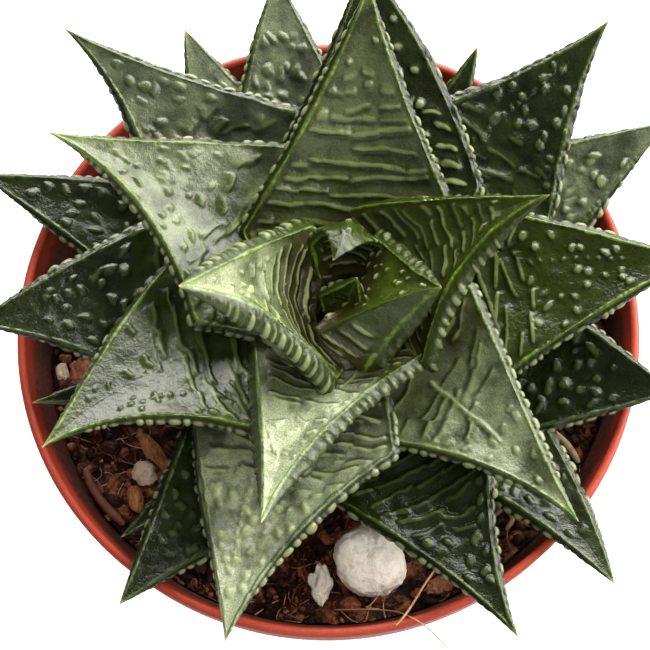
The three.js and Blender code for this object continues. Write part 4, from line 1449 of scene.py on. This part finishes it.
class HAWORTHIA_OT_potting_mix(bpy.types.Operator):
    """Models the mix, and the crumbs, bark chips and short fibres on it"""

    bl_idname = "haworthia.potting_mix"
    bl_label = "Potting Mix"

    def execute(self, context):
        settings = context.scene.haworthia_mix
        dark, red = tuple(settings.dark), tuple(settings.red)
        damp = mix_material("damp_mix", dark, red, 1400.0)
        self.plug(settings, damp)
        self.crumbs(settings, damp)
        self.chips(settings, mix_material("bark_crumbs", dark, RUST_CHIP, 2200.0))
        self.hairs(settings)
        return {"FINISHED"}

    def plug(self, settings, material):
        """The body of the mix: a spun plug whose top is broken into lumps."""
        low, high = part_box("potting_mix")
        radius = 0.5 * (high[0] - low[0])
        bm = bmesh.new()
        radii = [radius * (ring / PLUG_RINGS) ** 0.85 for ring in range(PLUG_RINGS + 1)]
        line = [bm.verts.new((value, 0.0, settings.level)) for value in radii]
        for height in (0.8, 0.5, 0.2):
            z = height * settings.level
            line.append(bm.verts.new((radius - PLUG_SLOPE * (settings.level - z), 0.0, z)))
        line.append(bm.verts.new((radius - PLUG_SLOPE * (settings.level - low[2]) - 1 * MM, 0.0, low[2])))
        line.append(bm.verts.new((0.0, 0.0, low[2])))
        spin(bm, line, PLUG_STEPS)
        mesh = mesh_from(bm, "potting_mix_plug")
        places = vertex_places(mesh)
        top = places[:, 2] > settings.level - 1e-5
        lumps = layered_noise(places / (2.6 * MM), 7, 4, 0.6)
        coarse = layered_noise(places / (9.0 * MM), 9, 2)
        raised = mix_height(places[:, 0], places[:, 1], settings.level)
        raised = raised + (0.75 * lumps + 0.8 * coarse - 0.7) * MM
        places[top, 2] = raised[top]
        place_vertices(mesh, places)
        paint(mesh, "tone", np.clip(0.30 + 0.45 * lumps, 0, 1))
        mesh.materials.append(material)
        scene_object("potting_mix_plug", mesh, "potting_mix")

    def spot(self, rng, settings, spread):
        """A random place on the mix between two radii, in metres."""
        radius = math.sqrt(rng.uniform(spread[0] ** 2, spread[1] ** 2)) * MM
        angle = rng.uniform(0, 2 * math.pi)
        x, y = radius * math.cos(angle), radius * math.sin(angle)
        return x, y, float(mix_height(x, y, settings.level))

    def crumbs(self, settings, material):
        """Small rounded crumbs of peat, each with a tone of its own."""
        rng = random_stream(11)
        count = settings.crumbs
        bm = bmesh.new()
        bmesh.ops.create_icosphere(bm, subdivisions=2, radius=1.0)
        mesh = repeated(mesh_from(bm, "peat_crumbs"), count)
        places = vertex_places(mesh).astype(float).reshape(count, -1, 3)
        places[..., 0] -= COPY_STEP * np.arange(count)[:, None]
        own = 7.0 * np.arange(count)[:, None, None]
        places *= 1.0 + 0.38 * layered_noise(places * 1.3 + own, 5, 2)[..., None]
        size = (rng.gamma(*CRUMB_SIZES, count) + SMALLEST_CRUMB) * MM
        long = rng.uniform(0.7, 1.3, count)
        flat = rng.uniform(0.5, 0.95, count)
        stretch = np.stack([long, np.ones(count), flat], axis=1)
        radius = np.sqrt(rng.uniform(CRUMB_SPREAD[0] ** 2, CRUMB_SPREAD[1] ** 2, count)) * MM
        angle = rng.uniform(0, 2 * math.pi, count)
        x, y = radius * np.cos(angle), radius * np.sin(angle)
        z = mix_height(x, y, settings.level) + rng.uniform(-0.9, 0.35, count) * size
        axes = rng.normal(size=(count, 3))
        turns = np.array([Matrix.Rotation(a, 3, Vector(axis)) for a, axis in zip(angle * 9, axes)])
        places = places * (stretch * size[:, None])[:, None, :]
        places = np.einsum("cij,cvj->cvi", turns, places) + np.stack([x, y, z], axis=1)[:, None, :]
        place_vertices(mesh, places.reshape(-1, 3))
        keep_in_pot(mesh)
        paint(mesh, "tone", np.repeat(rng.beta(0.8, 1.7, count), places.shape[1]))
        mesh.materials.append(material)
        scene_object("peat_crumbs", mesh)

    def chips(self, settings, material):
        """Flat angular chips of bark, each the hull of a few points."""
        rng = random_stream(12)
        bm = bmesh.new()
        tone = bm.verts.layers.float.new("tone")
        for _ in range(settings.chips):
            x, y, z = self.spot(rng, settings, CHIP_SPREAD)
            long = rng.uniform(0.5, 1.7) * MM
            shape = (long, long * rng.uniform(0.3, 0.7), long * rng.uniform(0.12, 0.35))
            turn = Matrix.Rotation(rng.uniform(0, 6.28), 4, "Z") @ Matrix.Rotation(rng.normal(0, 0.5), 4, "X")
            lift = Matrix.Translation((x, y, z + 0.25 * MM)) @ turn
            shade = float(rng.beta(0.8, 1.4))
            corners = []
            for _corner in range(CHIP_CORNERS):
                place = Vector([rng.uniform(-1, 1) * shape[axis] for axis in range(3)])
                vert = bm.verts.new(lift @ place)
                vert[tone] = shade
                corners.append(vert)
            hull = bmesh.ops.convex_hull(bm, input=corners)
            loose = [item for item in hull["geom_interior"] if isinstance(item, bmesh.types.BMVert)]
            bmesh.ops.delete(bm, geom=loose, context="VERTS")
        mesh = mesh_from(bm, "bark_chips")
        keep_in_pot(mesh)
        mesh.materials.append(material)
        scene_object("bark_chips", mesh, smooth=False)

    def hairs(self, settings):
        """Short curved fibres that stick out of the mix."""
        rng = random_stream(13)
        groups = {"pale_hairs": [], "rust_hairs": []}
        for index in range(settings.hairs):
            x, y, z = self.spot(rng, settings, HAIR_SPREAD)
            heading = rng.uniform(0, 2 * math.pi)
            turning = rng.normal(0, 0.5)
            step = rng.uniform(0.5, 2.0) * MM
            points = [np.array((x, y, z - 0.3 * MM))]
            for _joint in range(HAIR_JOINTS):
                heading += turning + rng.normal(0, 0.45)
                ahead = np.array((math.cos(heading), math.sin(heading), rng.uniform(-0.25, 0.38)))
                place = points[-1] + ahead * step
                out = np.hypot(place[0], place[1])
                place[:2] *= min(1.0, HAIR_ROOM / out)
                points.append(place)
            width = rng.uniform(0.08, 0.20) * MM
            group = "pale_hairs" if index % 3 else "rust_hairs"
            groups[group].append(strand_mesh("hair", points, width, 5, 16, index))
        colours = {"pale_hairs": tuple(settings.fibre), "rust_hairs": RUST_HAIR}
        for name, meshes in groups.items():
            bm = bmesh.new()
            for mesh in meshes:
                bm.from_mesh(mesh)
                bpy.data.meshes.remove(mesh)
            joined = mesh_from(bm, name)
            keep_in_pot(joined)
            joined.materials.append(strand_material(name, colours[name]))
            scene_object(name, joined)


CAMERA_TARGET = (-0.36 * MM, 0.57 * MM, 92 * MM)
SENSOR_WIDTH = 36
LIGHT_TARGET = (0, 0, 0.09)
WARM_WHITE = (1.0, 0.975, 0.93)
FLOOR_RADIUS = 6.0


class HAWORTHIA_OT_stage(bpy.types.Operator):
    """Sets the floor, the lights and the camera"""

    bl_idname = "haworthia.stage"
    bl_label = "Stage"

    def execute(self, context):
        settings = context.scene.haworthia_stage
        self.camera(context, settings)
        self.floor(context, settings)
        self.lights(context, settings)
        self.sky(context, settings)
        context.scene.view_settings.view_transform = "Standard"
        return {"FINISHED"}

    def camera(self, context, settings):
        """A long lens from above the front, turned a little about its axis."""
        ahead = Vector((0, math.cos(settings.elevation), -math.sin(settings.elevation)))
        level_up = Vector((0, math.sin(settings.elevation), math.cos(settings.elevation)))
        level_right = Vector((1, 0, 0))
        turn = settings.roll
        up = level_up * math.cos(turn) + level_right * math.sin(turn)
        right = level_right * math.cos(turn) - level_up * math.sin(turn)
        data = bpy.data.cameras.new("camera")
        data.sensor_width = SENSOR_WIDTH
        data.lens = settings.focal_pixels * data.sensor_width / IMAGE_PIXELS
        data.clip_start = 0.01
        camera = bpy.data.objects.new("camera", data)
        place = Matrix((right, up, -ahead)).transposed().to_4x4()
        place.translation = Vector(CAMERA_TARGET) - ahead * settings.distance
        camera.matrix_world = place
        context.scene.collection.objects.link(camera)
        context.scene.camera = camera

    def floor(self, context, settings):
        """A pale disc that also glows, but only for the camera, so that it shows almost no shadow."""
        bm = bmesh.new()
        bmesh.ops.create_circle(bm, cap_ends=True, segments=96, radius=FLOOR_RADIUS)
        mesh = mesh_from(bm, "floor")
        material, nodes, shader = new_material("pale_floor")
        seen = nodes.add("ShaderNodeLightPath").outputs["Is Camera Ray"]
        nodes.fill(
            shader, Base_Color=tuple(settings.floor), Roughness=0.9,
            Emission_Color=nodes.mix(seen, BLACK, WHITE), Emission_Strength=settings.glow,
        )
        mesh.materials.append(material)
        floor = bpy.data.objects.new("floor", mesh)
        context.scene.collection.objects.link(floor)
        if mesh.polygons[0].normal.z < 0:
            mesh.flip_normals()

    def area_light(self, context, name, azimuth, elevation, distance, size, power, reflected=True):
        """A soft box that looks at the plant from an azimuth counted from +X.

        One that isn't reflected lights the plant, but leaves no sheen on it.
        """
        data = bpy.data.lights.new(name, "AREA")
        data.shape = "RECTANGLE"
        data.size, data.size_y = size
        data.energy = power
        data.color = WARM_WHITE
        light = bpy.data.objects.new(name, data)
        a, e = math.radians(azimuth), math.radians(elevation)
        away = Vector((math.cos(e) * math.cos(a), math.cos(e) * math.sin(a), math.sin(e)))
        light.location = Vector(LIGHT_TARGET) + away * distance
        light.rotation_euler = away.to_track_quat("Z", "Y").to_euler()
        light.visible_glossy = reflected
        context.scene.collection.objects.link(light)

    def lights(self, context, settings):
        """Two windows behind, a soft box overhead and a pale card in front, all a little warm.

        The sheen of the one overhead would turn the dark leaves grey, so it isn't reflected.
        """
        self.area_light(context, "window_right", 16, 27, 1.2, (1.2, 0.74), settings.key)
        self.area_light(context, "window_back", 80, 25.5, 1.2, (1.2, 0.7), 1.13 * settings.key)
        self.area_light(context, "overhead", -60, 84, 1.3, (1.0, 0.9), settings.top, reflected=False)
        self.area_light(context, "front_card", -84, 24, 1.2, (1.2, 0.6), settings.front)

    def sky(self, context, settings):
        """White behind the object, and a faint light from all round."""
        world = bpy.data.worlds.new("sky")
        context.scene.world = world
        world.use_nodes = True
        nodes = Nodes(world.node_tree)
        lit = world.node_tree.nodes["Background"]
        nodes.fill(lit, Color=WHITE, Strength=settings.sky)
        seen = nodes.add("ShaderNodeBackground")
        nodes.fill(seen, Color=WHITE, Strength=1.0)
        path = nodes.add("ShaderNodeLightPath")
        either = nodes.add("ShaderNodeMixShader")
        nodes.join(path.outputs["Is Camera Ray"], either.inputs[0])
        nodes.join(lit.outputs[0], either.inputs[1])
        nodes.join(seen.outputs[0], either.inputs[2])
        nodes.join(either.outputs[0], world.node_tree.nodes["World Output"].inputs["Surface"])


# ---- Panel and registration ----


class HAWORTHIA_PT_panel(bpy.types.Panel):
    """Lists the pieces of the potted plant"""

    bl_idname = "HAWORTHIA_PT_panel"
    bl_label = "Potted Haworthia"
    bl_space_type = "VIEW_3D"
    bl_region_type = "UI"
    bl_category = "Haworthia"

    def draw(self, context):
        for operator in OPERATORS:
            self.layout.operator(operator.bl_idname)
        for name in SETTINGS:
            settings = getattr(context.scene, name)
            box = self.layout.box()
            for key in settings.__annotations__:
                box.prop(settings, key)


OPERATORS = (
    HAWORTHIA_OT_stage, HAWORTHIA_OT_pot, HAWORTHIA_OT_leaves, HAWORTHIA_OT_potting_mix,
    HAWORTHIA_OT_stones, HAWORTHIA_OT_bark, HAWORTHIA_OT_strands,
)
SETTINGS = {
    "haworthia_pot": PotSettings, "haworthia_leaves": LeafSettings, "haworthia_mix": MixSettings,
    "haworthia_stage": StageSettings,
}


def register():
    for group in SETTINGS.values():
        bpy.utils.register_class(group)
    for name, group in SETTINGS.items():
        setattr(bpy.types.Scene, name, PointerProperty(type=group))
    for operator in OPERATORS:
        bpy.utils.register_class(operator)
    bpy.utils.register_class(HAWORTHIA_PT_panel)


def unregister():
    bpy.utils.unregister_class(HAWORTHIA_PT_panel)
    for operator in reversed(OPERATORS):
        bpy.utils.unregister_class(operator)
    for name, group in SETTINGS.items():
        delattr(bpy.types.Scene, name)
        bpy.utils.unregister_class(group)


def main():
    register()
    bpy.ops.haworthia.stage()
    bpy.ops.haworthia.pot()
    bpy.ops.haworthia.leaves()
    bpy.ops.haworthia.potting_mix()
    bpy.ops.haworthia.stones()
    bpy.ops.haworthia.bark()
    bpy.ops.haworthia.strands()


if __name__ == "__main__":
    main()
